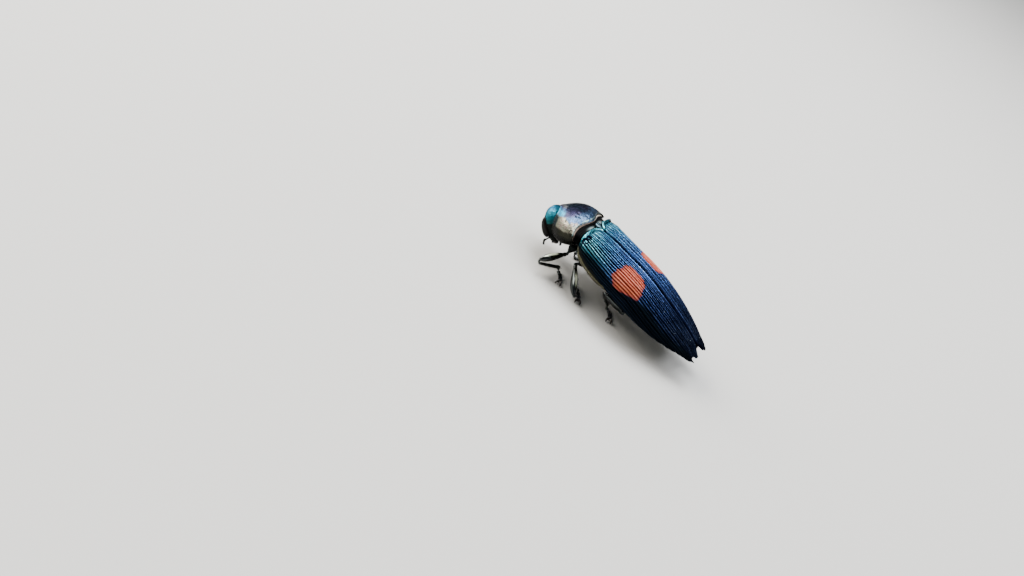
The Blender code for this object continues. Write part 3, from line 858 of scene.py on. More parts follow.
@dataclass(frozen=True)
class PlainFinish(Finish):
    """A plain body colour with soft mottling, for horn, skin and hair."""

    light: Colour
    dark: Colour
    roughness: float = 0.4
    coat: float = 0.0
    wrinkle: float = 0.0

    def paint(self, shader: Shader) -> None:
        """Fills the shader.

        Args:
            shader: the material's shader.
        """
        cloud = shader.noise(2.2, 4.0)
        shader.set(
            Base_Color=shader.mix(cloud.soft_step(0.3, 0.7), self.dark, self.light),
            Roughness=self.roughness + (cloud - 0.5) * 0.1,
            Coat_Weight=self.coat,
        )
        if self.wrinkle:
            shader.set(Normal=shader.relief(shader.noise(5.0, 3.0), self.wrinkle))


@dataclass(frozen=True)
class SkinFinish(PlainFinish):
    """Soft joint skin, pale at one edge and painted nearly black beyond as shade in the gap, with pale plates
    near the middle.
    """

    # painted shade: the near-black of the skin deep in the gap
    far: Colour = (0.0015, 0.0015, 0.002)
    bright: Colour = (0.4, 0.36, 0.3)
    plate: Colour = (0.17, 0.22, 0.23)

    def paint(self, shader: Shader) -> None:
        """Fills the shader.

        Args:
            shader: the material's shader.
        """
        super().paint(shader)
        tone = shader.layers(
            self.dark,
            (shader.noise(2.2, 4.0).soft_step(0.3, 0.7), self.light),
            (shader.number("flank"), self.bright),
            # painted shade deep in the gap
            (shader.number("along").soft_step(0.13, 0.19), self.far),
            (shader.number("shoulder"), self.plate),
        )
        shader.set(Base_Color=tone, Specular_IOR_Level=0.02)


@dataclass(frozen=True)
class FloorFinish(Finish):
    """Pale matt studio floor."""

    colour: Colour = (0.5, 0.495, 0.48)

    def paint(self, shader: Shader) -> None:
        """Fills the shader."""
        shader.set(Base_Color=self.colour, Roughness=0.9)


WING_CASE = WingCaseFinish("wing_case_metal", Slot.SHELL)
PROTHORAX_SHELL = ShieldFinish(
    "prothorax_metal", Slot.PROTHORAX, (0.03, 0.028, 0.06), (0.014, 0.026, 0.046), (0.05, 0.33, 0.52),
    (0.006, 0.006, 0.004), 0.27, 0.1, edge=(0.08, 0.1, 0.12),
)
HEAD_SHELL = CrownFinish(
    "head_metal", Slot.PROTHORAX, (0.022, 0.23, 0.33), (0.01, 0.08, 0.085), (0.008, 0.014, 0.01),
    (0.004, 0.005, 0.004), 0.32, 0.04, 5.0, 0.05, (0.03, 0.1, 0.13), 0.36, 0.8,
)
SCUTELLUM_SHELL = PlateFinish(
    "scutellum_metal", Slot.SHELL, (0.1, 0.16, 0.2), (0.09, 0.16, 0.2), (0.05, 0.12, 0.16),
    (0.02, 0.03, 0.04), 0.26, 0.2,
)
UNDERSIDE_SHELL = UndersideFinish(
    "underside_metal", Slot.UNDERSIDE, (0.11, 0.1, 0.05), (0.09, 0.09, 0.045), (0.06, 0.06, 0.035),
    (0.003, 0.004, 0.004), 0.34, 0.04, 4.5,
)
LEG_SHELL = LegFinish(
    "leg_metal", Slot.LEG, (0.012, 0.02, 0.017), (0.008, 0.015, 0.013), (0.005, 0.009, 0.009),
    (0.02, 0.018, 0.012), 0.16, 0.8, 7.0, 0.008,
)
EYE = EyeFinish("eye_facets", Slot.EYE)
HORN = PlainFinish("dark_horn", Slot.HORN, (0.012, 0.006, 0.004), (0.004, 0.0025, 0.002), 0.34, 0.15)
JOINT_SKIN = SkinFinish("joint_membrane", Slot.SKIN, (0.26, 0.19, 0.16), (0.14, 0.1, 0.08), 0.55, 0.0, 0.03)
PALE_HAIR = PlainFinish("pale_hairs", Slot.HAIR, (0.34, 0.31, 0.23), (0.22, 0.2, 0.14), 0.7)
FLOOR = FloorFinish("studio_floor", None)


# Meshes


@dataclass
class Sheet:
    """A grid of points, rows by columns by xyz, with the numbers that its finish reads."""

    points: Array
    numbers: dict = field(default_factory=dict)

    @property
    def normals(self) -> Array:
        """Unit normals, along the cross product of the row direction and the column direction."""
        normal = np.cross(np.gradient(self.points, axis=1), np.gradient(self.points, axis=0))
        return normal / np.maximum(np.linalg.norm(normal, axis=2, keepdims=True), 1e-9)

    def raised(self, height: Array, outward: float = 1.0) -> "Sheet":
        """The sheet with each point moved out by a height; outward is -1 where the normals point in."""
        return Sheet(self.points + self.normals * (outward * height)[..., None], self.numbers)


@dataclass
class Shell:
    """The points and faces of one piece as it grows."""

    points: list = field(default_factory=list)
    faces: list = field(default_factory=list)
    numbers: dict = field(default_factory=dict)
    count: int = 0

    def add(self, points: Array, numbers: dict | None = None) -> Array:
        """Adds points.

        Args:
            points: rows of xyz, in any shape ahead of that.
            numbers: their numbers, in the same shape.

        Returns:
            Their indices, in the same shape.
        """
        shape = points.shape[:-1]
        flat = points.reshape(-1, 3)
        index = np.arange(self.count, self.count + len(flat)).reshape(shape)
        for name in set(self.numbers) | set(numbers or {}):
            kept = self.numbers.setdefault(name, [np.zeros(self.count)])
            given = (numbers or {}).get(name)
            kept.append(np.zeros(len(flat)) if given is None else np.broadcast_to(given, shape).ravel())
        self.points.append(flat)
        self.count += len(flat)
        return index

    def skin(self, index: Array) -> None:
        """Adds the quads between the rows of a grid of indices.

        Args:
            index: the grid, whose last column joins its first.
        """
        after = np.roll(index, -1, axis=1)
        quads = np.stack([index[:-1], after[:-1], after[1:], index[1:]], axis=-1)
        self.faces.extend(quads.reshape(-1, 4).tolist())

    def cap(self, ring: Array, middle: Array) -> None:
        """Closes a ring of indices with a fan to the point in its middle."""
        centre = self.add(middle.reshape(1, 3))[0]
        self.faces.extend(np.stack([ring, np.roll(ring, -1), 0 * ring + centre], axis=-1).tolist())

    def zip(self, first: Array, second: Array) -> None:
        """Fills the strip between two lines that run the same way.

        Args:
            first: the indices of one line, which has more points.
            second: the indices of the other.
        """
        last = 0
        for k in range(len(first) - 1):
            self.faces.append([int(first[k]), int(first[k + 1]), int(second[last])])
            wanted = round((k + 1) * (len(second) - 1) / (len(first) - 1))
            while last < wanted:
                self.faces.append([int(first[k + 1]), int(second[last + 1]), int(second[last])])
                last += 1

    def tube(self, sheet: Sheet, ends: tuple | None = None) -> "Shell":
        """Adds a sheet as a closed tube with both ends filled.

        Args:
            sheet: rings as rows.
            ends: the middle points of its ends, or None for the rings' own middles.

        Returns:
            The shell.
        """
        index = self.add(sheet.points, sheet.numbers)
        self.skin(index)
        first, last = ends or (sheet.points[0].mean(axis=0), sheet.points[-1].mean(axis=0))
        self.cap(index[0], first)
        self.cap(index[-1], last)
        return self

    def mesh(self, name: str, matrix: Array, mirror: bool = False) -> Mesh:
        """The mesh in world metres, faces outwards.

        Args:
            name: the mesh's name.
            matrix: the frame that the points are in.
            mirror: whether to swap the left and right sides first.

        Returns:
            The mesh.
        """
        points = np.concatenate(self.points)
        if mirror:
            points = points * np.array([-1.0, 1.0, 1.0])
        points = to_world(matrix, points) * MM
        mesh = bpy.data.meshes.new(name)
        mesh.from_pydata(points.tolist(), [], self.faces)
        mesh.validate()
        for key, parts in self.numbers.items():
            layer = mesh.attributes.new(key, "FLOAT", "POINT")
            layer.data.foreach_set("value", np.concatenate(parts).astype(np.float32))
        mesh.shade_smooth()
        mesh.update()
        if volume(mesh) < 0:
            mesh.flip_normals()
        return mesh

    def piece(
        self, name: str, finish: Finish, matrix: Array = WORLD, mirror: bool = False, fixed: bool = False
    ) -> Object:
        """Makes the shell the piece that stands for the solid of its name.

        Args:
            name: the piece's name.
            finish: its finish.
            matrix: the frame that the points are in.
            mirror: whether to swap the left and right sides first.
            fixed: whether each face is turned outwards on its own.

        Returns:
            The piece's object.
        """
        mesh = self.mesh(name, matrix, mirror)
        if fixed:
            fix_normals(mesh)
        return piece(name, mesh, finish)


def fix_normals(mesh: Mesh) -> None:
    """Turns every face of a mesh outwards.

    Args:
        mesh: the mesh, which is closed.
    """
    bm = bmesh.new()
    bm.from_mesh(mesh)
    bmesh.ops.recalc_face_normals(bm, faces=bm.faces)
    bm.to_mesh(mesh)
    bm.free()


def volume(mesh: Mesh) -> float:
    """A mesh's signed volume.

    Args:
        mesh: the mesh.

    Returns:
        Its volume, negative where its faces point inwards.
    """
    mesh.calc_loop_triangles()
    corners = np.empty(len(mesh.loop_triangles) * 3, np.int32)
    mesh.loop_triangles.foreach_get("vertices", corners)
    places = np.empty(len(mesh.vertices) * 3, np.float32)
    mesh.vertices.foreach_get("co", places)
    a, b, c = places.reshape(-1, 3).astype(float)[corners].reshape(-1, 3, 3).transpose(1, 0, 2)
    return float(np.einsum("ij,ij->i", a, np.cross(b, c)).sum() / 6)


def piece(name: str, mesh: Mesh, finish: Finish, added: bool = False) -> Object:
    """Makes a finished piece and tells the frame about it.

    Args:
        name: the piece's name, and the name of the solid that it stands for.
        mesh: its mesh, in world metres.
        finish: its finish.
        added: whether it stands for no solid.

    Returns:
        The piece's object.
    """
    mesh.materials.clear()
    mesh.materials.append(finish.material())
    made = bpy.data.objects.new(name, mesh)
    bpy.context.scene.collection.objects.link(made)
    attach(made, BODY)
    if not added:
        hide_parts(name)
    LOG.info("%s: %d faces", name, len(mesh.polygons))
    return made


def along_route(points: Array, count: int) -> Array:
    """A smooth line of a number of points, spread evenly between the given ones that it passes through."""
    stations = np.column_stack([np.arange(len(points)), points])
    return np.stack(profile(stations, np.linspace(0, len(points) - 1, count)), axis=-1)


def frames_along(route: Array, side: Sequence[float]) -> tuple[Array, Array]:
    """At each point of a route, the direction across it and the side, and the one nearest the side."""
    first = unit(np.cross(np.gradient(route, axis=0), np.asarray(side, float)))
    return first, unit(np.cross(first, np.gradient(route, axis=0)))


def tube_sheet(route: Array, wide: Array, thick: Array, columns: int, side: Sequence[float]) -> Sheet:
    """Rings round a route.

    Args:
        route: the middle of each ring.
        wide: each ring's half width, across the side direction.
        thick: each ring's half thickness, along the side direction.
        columns: points in a ring.
        side: the direction that its thickness lies along.

    Returns:
        The sheet.
    """
    first, second = frames_along(route, side)
    angle = ring_angles(columns)[..., None]
    spread = first[:, None] * np.cos(angle) * np.reshape(wide, (-1, 1, 1))
    lift = second[:, None] * np.sin(angle) * np.reshape(thick, (-1, 1, 1))
    return Sheet(route[:, None] + spread + lift)


def plain_numbers(sheet: Sheet, groove: Array | float, along: Array | float) -> dict:
    """The numbers of a limb whose rings have one value each.

    Args:
        sheet: the limb's rings.
        groove: how dark each ring is, as in a groove.
        along: each ring's place along the limb.

    Returns:
        The numbers that its finish reads.
    """
    shape = sheet.points.shape[:2]
    rows = {"groove": groove, "along": along, "flank": 0.0}
    return {name: np.broadcast_to(np.reshape(row, (-1, 1)), shape) for name, row in rows.items()}


def outward(sheet: Sheet) -> float:
    """1 where a closed sheet's normals point away from its middle line, -1 where they point in."""
    row, normal = sheet.points[len(sheet.points) // 2], sheet.normals[len(sheet.points) // 2, 0]
    return 1.0 if float(np.dot(normal, row[0] - row.mean(axis=0))) > 0 else -1.0


# Wing cases


@dataclass
class WingCases:
    """The two ribbed wing cases, with rows of pits between the ribs and two spines at each tip."""

    stance: Stance
    stations: tuple = (
        # place along the body, half width, level of the seam, drop from the seam to the margin
        (-1.0, 5.15, -0.4, 1.45), (0.5, 5.65, -0.13, 2.15), (3.0, 5.85, 0.35, 3.25), (6.5, 6.05, 0.73, 3.95),
        (10.0, 6.35, 1.07, 4.35), (13.0, 6.45, 1.07, 4.13), (17.0, 6.05, 0.8, 3.6),
        (21.0, 4.95, 0.36, 2.75), (24.2, 3.7, -0.28, 1.62), (26.8, 2.6, -0.95, 0.8),
    )
    square: float = 3.0
    wall: float = 0.34
    seam_gap: float = 0.025
    rows: int = 440
    columns: int = 176
    crowding: float = 0.92
    inner_columns: int = 14
    arc_steps: int = 48
    table_line: tuple = (-1.0, 27.5, 120)
    tip_split_y: float = 24.2
    tip_split: float = 0.95
    apex_y: float = 25.75
    inner_lobe: float = 0.55
    outer_spine: float = 0.85
    rib_spacing: float = 0.46
    groove_depth: float = 0.19
    groove_weights: tuple = (
        1.0, 0.6, 0.75, 0.5, 0.8, 0.55, 1.0, 0.6, 0.85, 0.6,
        1.0, 0.7, 0.95, 0.55, 0.8, 0.55, 0.7, 0.5, 0.6, 0.5,
    )
    pit_spacing: float = 0.36
    pit_depth: float = 0.06
    rib_height: float = 0.04
    rib_swell: float = 0.025
    grain_depth: float = 0.018
    knob_height: float = 0.26
    dimple_depth: float = 0.22
    inner_dimple_depth: float = 0.08
    widest_arc: float = 8.55
    # mounds: middle and width round the case from the seam, then along the body
    knob: tuple = (6.05, 0.75, 1.35, 1.0)
    outer_dimple: tuple = (5.25, 0.5, 0.4, 0.5)
    middle_dimple: tuple = (4.2, 0.38, 0.3, 0.4)
    inner_dimple: tuple = (2.6, 0.7, 0.35, 0.5)
    # this mound marks where the painted sheen of the shoulder lies
    green_shoulder: tuple = (5.8, 1.5, 1.3, 3.0)
    tooth_pitch: float = 0.42
    tooth_depth: float = 0.13
    spot_middle: float = 10.0
    spot_round: float = 0.2
    spot_ragged: float = 0.9
    spot_edges: tuple = (
        # normal across, normal along, distance from the seam's start
        (-1.0, 0.0, -2.2), (-0.37, -0.93, -8.35), (0.85, -0.52, 1.7), (0.95, 0.31, 9.9),
        (-0.55, 0.84, 8.15),
    )

    def start(self, share: Array) -> Array:
        """Where the case starts along the body, from the seam (share 0) to its margin (share 1)."""
        return -0.75 + 1.25 * np.exp(-share / 0.045) + 0.2 * share + 0.62 * share**4

    def end(self, share: Array) -> Array:
        """Where the case ends: a blunt inner lobe, a notch and a pointed outer spine."""
        inner = self.inner_lobe * np.exp(-(((share - 0.12) / 0.2) ** 4))
        return self.apex_y + inner + self.outer_spine * bump(share - 0.84, 0.11)

    def face(self, y: Array, share: Array, depth: float) -> Array:
        """Points of the left case, on its plain outer face or a depth inside it.

        Args:
            y: places along the body.
            share: places from the seam (0) to the margin (1).
            depth: how far inside.

        Returns:
            The points.
        """
        half_width, seam, drop = profile(self.stations, y)
        open_tip = np.maximum(0.0, (y - self.tip_split_y) / (self.apex_y - self.tip_split_y))
        split = self.seam_gap + self.tip_split * open_tip
        angle = share * math.pi / 2
        x = split + (half_width - depth - split) * np.sin(angle) ** (2 / self.square)
        z = seam - drop + (drop - depth) * np.abs(np.cos(angle)) ** (2 / self.square)
        return np.stack([x, y, z], axis=-1)

    def arcs(self, y: Array, share: Array) -> Array:
        """How far each place is from the seam, measured round the case.

        Args:
            y: places along the body.
            share: places from the seam to the margin.

        Returns:
            The lengths.
        """
        total = np.zeros_like(y)
        before = self.face(y, share * 0.0, 0.0)
        for step in np.linspace(0.0, 1.0, self.arc_steps + 1)[1:]:
            here = self.face(y, share * step, 0.0)
            total += np.linalg.norm(here - before, axis=-1)
            before = here
        return total

    def full_arc(self, y: Array) -> Array:
        """The whole way from the seam to the margin at each place along the body."""
        line = np.linspace(*self.table_line)
        return np.interp(y, line, self.arcs(line, np.ones_like(line)))

    def relief(self, y: Array, share: Array) -> tuple[Array, dict]:
        """The ribs, grooves, pits and knobs of the outer face.

        Args:
            y: places along the body.
            share: places from the seam to the margin.

        Returns:
            The height over the plain face, and the numbers that the finish reads.
        """
        arc = self.arcs(y, share)
        full = self.full_arc(y)
        rim = y - self.start(share)
        spacing = self.rib_spacing * np.minimum(full / self.widest_arc, 1.0) ** 0.45
        rib = arc / spacing + 0.12 * waves(y * 0.5, arc * 0.8, 3.0)
        groove = np.round(rib)
        away = np.abs(rib - groove)
        order = np.clip(groove, 0, len(self.groove_weights) - 1).astype(int)
        weight = np.array(self.groove_weights)[order] * (0.86 + 0.24 * waves(y * 0.7, groove * 5.3, 8.0))
        valley = 1 - smooth(away, 0.04 + 0.08 * weight, 0.36 + 0.12 * weight)
        behind = smooth(rim, 0.5, 1.15)
        fade = 0.35 + 0.65 * smooth(rim, 0.3, 1.8)
        fade = fade * (1 - 0.5 * smooth(y, 20.5, 25.5)) * (1 - 0.35 * smooth(full - arc, 1.6, 0.3))
        fade = fade * (0.15 + 0.85 * behind)
        cell = y / self.pit_spacing + scatter(groove, 0.0, 2.0)
        near = np.round(cell)
        jitter = 0.16 * (scatter(groove, near, 4.0) - 0.5)
        apart = ((cell - near + jitter) * self.pit_spacing / 0.1) ** 2
        pit = np.exp(-apart - (away * spacing / 0.11) ** 2) * smooth(rim, 0.35, 1.0)
        fine = pits(arc, y, 0.24, 0.055, 6.0) * (1 - valley)
        dimple = mound(arc, y, self.outer_dimple) + 0.8 * mound(arc, y, self.middle_dimple)
        ribs = self.rib_height - self.groove_depth * weight * valley - self.rib_swell * np.cos(np.pi * rib)
        height = fade * ribs
        height -= self.pit_depth * pit * (0.6 + 0.4 * fade) + self.grain_depth * fine
        bumps = self.knob_height * mound(arc, y, self.knob) - self.dimple_depth * dimple
        height += bumps - self.inner_dimple_depth * mound(arc, y, self.inner_dimple)
        height += 0.03 * bump(arc - 0.58, 0.2) - 0.14 * bump(arc, 0.11)
        height += 0.12 * bump(rim - 0.24, 0.18) - 0.13 * np.exp(-rim / 0.06) - 0.09 * bump(rim - 0.68, 0.14)
        height += 0.05 * bump(full - arc - 0.1, 0.08)
        # painted shade: the seam's black
        seam = 1 - smooth(arc, 0.22, 0.38)
        beside = bump(arc - 0.48, 0.1)
        dark = 1 - smooth(away, 0.14 + 0.14 * weight, 0.4 + 0.08 * weight)
        lines = (dark * behind * (0.6 + 0.45 * weight) + 0.4 * pit + 0.3 * fine) * (1 - 0.8 * beside)
        # painted shade: the black ring in the dimples and along the groove behind the base rim
        ring = bump(rim - 0.62, 0.15) * 0.8 + 1.1 * bump(dimple - 0.45, 0.22)
        # crest marks the ribs, lightened in the finish partly as their own colour and partly as painted
        # highlight
        crest = smooth(away, 0.28, 0.45) * (0.55 + 0.45 * waves(y * 0.45, np.floor(rib) * 3.7, 12.0))
        crest = np.clip(np.maximum(crest, 0.6 * beside), 0.0, 1.0)
        # narrow raises the flank number in the middle of the case, widening the painted shade there
        narrow = 0.17 * smooth(y, 8.0, 15.0) * (1 - 0.6 * smooth(y, 16.0, 20.0))
        return height, {
            "groove": np.clip(lines + seam + ring, 0.0, 1.0),
            "crest": crest * (1 - 0.7 * pit) * (1 - seam),
            "along": y,
            "flank": arc / full + narrow - 0.12 * (1 - smooth(y, 1.2, 4.0)),
            # painted sheen on the shoulder and a painted highlight along the base rim
            "shoulder": np.clip(mound(arc, y, self.green_shoulder) + 1.6 * bump(rim - 0.16, 0.22), 0.0, 1.6),
            "spot": self.spot(arc, y, np.floor(rib)),
        }

    def spot(self, arc: Array, y: Array, rib: Array) -> Array:
        """How far each place lies inside the orange spot, negative outside it.

        Args:
            arc: places round the case, from the seam.
            y: places along the body.
            rib: the number of the rib at each place, as each rib's colour ends at its own place.

        Returns:
            The distances, rounded where two edges meet.
        """
        along = y + self.spot_ragged * (scatter(rib, 0.0, 21.0) - 0.5) * np.sign(y - self.spot_middle)
        total = np.zeros_like(arc)
        for across, forward, reach in self.spot_edges:
            total = total + np.exp(-(reach - across * arc - forward * along) / self.spot_round)
        return -self.spot_round * np.log(total)

    def shell(self) -> Shell:
        """The left wing case: its outer face, its inner face and the strips that join them.

        Returns:
            Its shell.
        """
        share = np.linspace(0.0, 1.0, self.columns + 1) ** self.crowding
        row = np.linspace(0.0, 1.0, self.rows + 1)[:, None]
        along = row - 0.035 * np.sin(2 * np.pi * row)
        y = self.start(share) + along * (self.end(share) - self.start(share))
        wide = np.broadcast_to(share, y.shape)
        height, numbers = self.relief(y, wide)
        outer = Sheet(self.face(y, wide, 0.0), numbers).raised(height)
        tooth = np.abs(np.modf(y / self.tooth_pitch)[0])
        teeth = self.tooth_depth * (1 - tooth) ** 1.5 * smooth(y, 16.5, 19.5) * bump(1 - wide, 0.045)
        outer.points[..., 0] += teeth
        share = np.linspace(0.0, 1.0, self.inner_columns)
        y = self.start(share) + 0.05 + along * (self.end(share) - self.start(share) - 0.12)
        inner = self.face(y, np.broadcast_to(share, y.shape), self.wall)
        shell = Shell()
        top = shell.add(outer.points, outer.numbers)
        below = shell.add(inner, {"flank": np.ones(y.shape), "along": y, "spot": -np.ones(y.shape)})
        shell.skin(np.concatenate([top, below[:, ::-1]], axis=1))
        for end_row in (0, -1):
            shell.zip(top[end_row], below[end_row])
        return shell

    def build(self) -> None:
        """Makes both wing cases."""
        shell = self.shell()
        for side in Side:
            shell.piece(f"elytron_{side.word}", WING_CASE, self.stance.body, side is Side.RIGHT, fixed=True)


@dataclass
class Scutellum:
    """The small shield in the notch where the two wing cases start."""

    stance: Stance
    half_width: float = 0.6
    length: float = 1.15
    thickness: float = 0.5
    front: float = -1.0
    top: float = -0.3
    crown: float = 0.12
    square: float = 2.2
    rows: int = 40
    columns: int = 48
    # share of the length, share of the half width
    outline: tuple = ((0.0, 0.62), (0.12, 0.95), (0.3, 1.0), (0.55, 0.8), (0.85, 0.35), (1.0, 0.05))

    def build(self) -> None:
        """Makes the shield."""
        share = np.linspace(0.0, 1.0, self.rows)[:, None]
        spread = profile(self.outline, share)[0]
        across, rise = squarish(ring_angles(self.columns), self.square)
        x = self.half_width * spread * across
        crown = self.crown * np.sqrt(np.maximum(0.0, 1 - (2 * share - 1) ** 2))
        z = self.top + np.where(rise > 0, rise * crown, rise * self.thickness * spread)
        y = self.front + share * self.length + 0 * x
        numbers = {"along": share + 0 * x, "flank": 0 * x, "groove": pits(x, y, 0.16, 0.04, 2.0) * 0.6}
        shell = Shell().tube(Sheet(np.stack([x, y, z], axis=-1), numbers))
        shell.piece("scutellum", SCUTELLUM_SHELL, self.stance.body)


# Trunk


@dataclass
class Trunk:
    """The plates below the wing cases: middle thorax with its collar, hind thorax and five belly rings."""

    stance: Stance
    cases: WingCases
    stations: tuple = (
        # place along the body, half width, depth
        (1.2, 5.4, 2.75), (4.0, 5.5, 2.7), (6.5, 5.3, 2.55), (9.0, 4.5, 2.2), (11.0, 4.15, 2.0),
        (13.5, 4.15, 1.95), (17.0, 4.1, 1.85), (21.0, 3.3, 1.5), (25.2, 1.8, 0.8),
    )
    collar: tuple = (
        # order, y, level of the side line, half width, rise, depth, lean in degrees
        (0.0, -1.22, -2.25, 4.9, 0.45, 1.5, 44),
        (1.0, -0.75, -2.3, 4.35, 1.0, 2.1, 30),
        (2.0, 0.2, -2.55, 4.55, 1.3, 2.75, 8),
    )
    collar_square: float = 2.2
    flank_square: float = 2.3
    dome_square: float = 2.5
    room: float = 0.75
    margin_gap: float = 0.2
    ledge: float = 0.1
    lip: float = 0.1
    pit_depth: float = 0.028
    seam_depth: float = 0.09
    belly_step: float = 0.05
    swell: float = 0.02
    least_rows: int = 20
    row_spacing: float = 0.085
    dome_columns: int = 24
    flank_columns: int = 170
    ends: tuple = (
        ("mesothorax", 1.2, 4.2), ("metathorax", 4.2, 13.0), ("abdomen_1", 13.0, 16.2),
        ("abdomen_2", 16.2, 18.6), ("abdomen_3", 18.6, 20.7), ("abdomen_4", 20.7, 22.7),
        ("abdomen_5", 22.7, 25.2),
    )

    def angles(self) -> tuple[Array, Array]:
        """The angles of the dome's columns and of the flanks' columns, as rows."""
        dome = np.linspace(0, math.pi, self.dome_columns)[None, :]
        return dome, np.linspace(math.pi, 2 * math.pi, self.flank_columns)[None, :]

    def ring(self, y: Array, shrink: Array) -> Array:
        """Sections of the trunk.

        Args:
            y: places along the body, as a column.
            shrink: how far inside the outer face, as a column.

        Returns:
            The points.
        """
        half_width, depth = profile(self.stations, y)
        case_width, seam, drop = profile(self.cases.stations, y)
        margin = seam - drop - self.margin_gap
        dome, flank = self.angles()
        rise = drop - self.room + self.margin_gap - shrink
        across, up = squarish(dome, self.dome_square)
        flank_across, down = squarish(flank, self.flank_square)
        x_parts = [(case_width - self.room - shrink) * across, (half_width - shrink) * flank_across]
        z_parts = [margin + rise * up, margin - self.ledge + (depth - shrink) * down]
        x, z = np.concatenate(x_parts, axis=1), np.concatenate(z_parts, axis=1)
        return np.stack([x, y + 0 * x, z], axis=-1)

    def collar_ring(self, order: Array, shrink: float = 0.0) -> Array:
        """Sections of the collar that the prothorax turns on, leaning forward.

        Args:
            order: where each lies between the collar's stations, as a column.
            shrink: how far inside the outer face.

        Returns:
            The points.
        """
        y, level, half_width, rise, depth, lean = profile(self.collar, order)
        lean = np.radians(lean)
        across, up = squarish(np.concatenate(self.angles(), axis=1), self.collar_square)
        x = (half_width - shrink) * across
        z = up * np.where(up > 0, rise - shrink, depth - shrink)
        return np.stack([x, y - z * np.sin(lean), level + z * np.cos(lean)], axis=-1)

    def relief(self, name: str, sheet: Sheet, start: float, end: float) -> Sheet:
        """Pits and seams of a plate's lower face.

        Args:
            name: the plate's name.
            sheet: its plain face.
            start: where the plate starts along the body.
            end: where it ends.

        Returns:
            The finished face.
        """
        x, y = sheet.points[..., 0], sheet.points[..., 1]
        arc = arc_lengths(sheet.points)
        flank = np.zeros(x.shape)
        flank[:, self.dome_columns :] = 1.0
        coarse = pits(arc, y, 0.3, 0.085, 51.0) * flank
        height = -self.pit_depth * coarse + self.swell * flank * waves(arc * 0.7, y * 0.9, 55.0)
        seam = np.zeros(x.shape)
        share = (y - start) / (end - start)
        half_width = profile(self.stations, y)[0]
        if name == "metathorax":
            seam += bump(x, 0.07) * smooth(share, 0.05, 0.2) * (1 - smooth(share, 0.8, 0.9))
            side_line = half_width * (0.93 - 0.1 * share)
            seam += bump(np.abs(x) - side_line, 0.06)
            seam += bump(share - 0.86 - 0.05 * (np.abs(x) / half_width) ** 2, 0.008) * (np.abs(x) < side_line)
        elif name == "mesothorax":
            seam += bump(np.abs(x) - half_width * (0.62 + 0.2 * share), 0.06)
        else:
            height += self.belly_step * smooth(share, 0.55, 0.95) * flank
        seam *= flank
        height -= self.seam_depth * seam
        away = outward(Sheet(sheet.points[:, self.dome_columns :]))
        below = self.below(sheet.points)
        numbers = {
            "groove": np.clip(0.8 * coarse + seam, 0, 1),
            "along": share,
            # the flank number carries the painted shade of the back, the collar and the upper flank
            "flank": self.shade(below, y, flank),
            "shoulder": smooth(below, 0.2, 0.32) * (1 - smooth(below, 0.4, 0.75)) * flank,
        }
        return Sheet(sheet.points, numbers).raised(height, away)

    def below(self, points: Array) -> Array:
        """How far under the ledge some places are.

        Args:
            points: the places.

        Returns:
            The shares of the trunk's depth there.
        """
        depth = profile(self.stations, points[..., 1])[1]
        seam, drop = profile(self.cases.stations, points[..., 1])[1:]
        return (seam - drop - self.margin_gap - self.ledge - points[..., 2]) / depth

    @staticmethod
    def shade(below: Array, y: Array, flank: Array) -> Array:
        """1 on the back, the collar and the upper flank, which are painted dark as shade, and 0 below."""
        upper = np.maximum(1 - smooth(below, 0.16, 0.3), 1 - flank)
        return np.maximum(upper, (1 - smooth(y, 0.4, 1.4)) * (below < 0.75))

    def plate(self, name: str, start: float, end: float) -> Shell:
        """One plate of the trunk as a closed tube.

        Args:
            name: its name.
            start: where it starts along the body.
            end: where it ends.

        Returns:
            Its shell.
        """
        first = name == "mesothorax"
        rows = max(self.least_rows, round((end - start) / self.row_spacing))
        y = np.linspace(start + (0.0 if first else 0.03), end - self.lip, rows)
        y = np.concatenate([y, np.linspace(end - self.lip, end + 0.12, 6)[1:]])[:, None]
        tuck = 0.16 * smooth(y, end - self.lip, end + 0.1)
        if not first:
            tuck = tuck + 0.05 * (1 - smooth(y, start, start + 0.12))
        points = self.ring(y, tuck)
        if first:
            collar = self.collar_ring(np.linspace(0, 2, 16)[:, None])
            blend = smooth(np.linspace(0, 1, 14), 0.0, 1.0)[1:-1, None, None]
            between = collar[-1][None] * (1 - blend) + points[0][None] * blend
            tucked = self.collar_ring(np.zeros((1, 1)), 0.25)
            points = np.concatenate([tucked, collar, between, points])
        return Shell().tube(self.relief(name, Sheet(points), start, end))

    def build(self) -> list[Object]:
        """Makes every plate and returns them."""
        made = [(name, self.plate(name, start, end)) for name, start, end in self.ends]
        return [plate.piece(name, UNDERSIDE_SHELL, self.stance.body, fixed=True) for name, plate in made]


# Prothorax and head


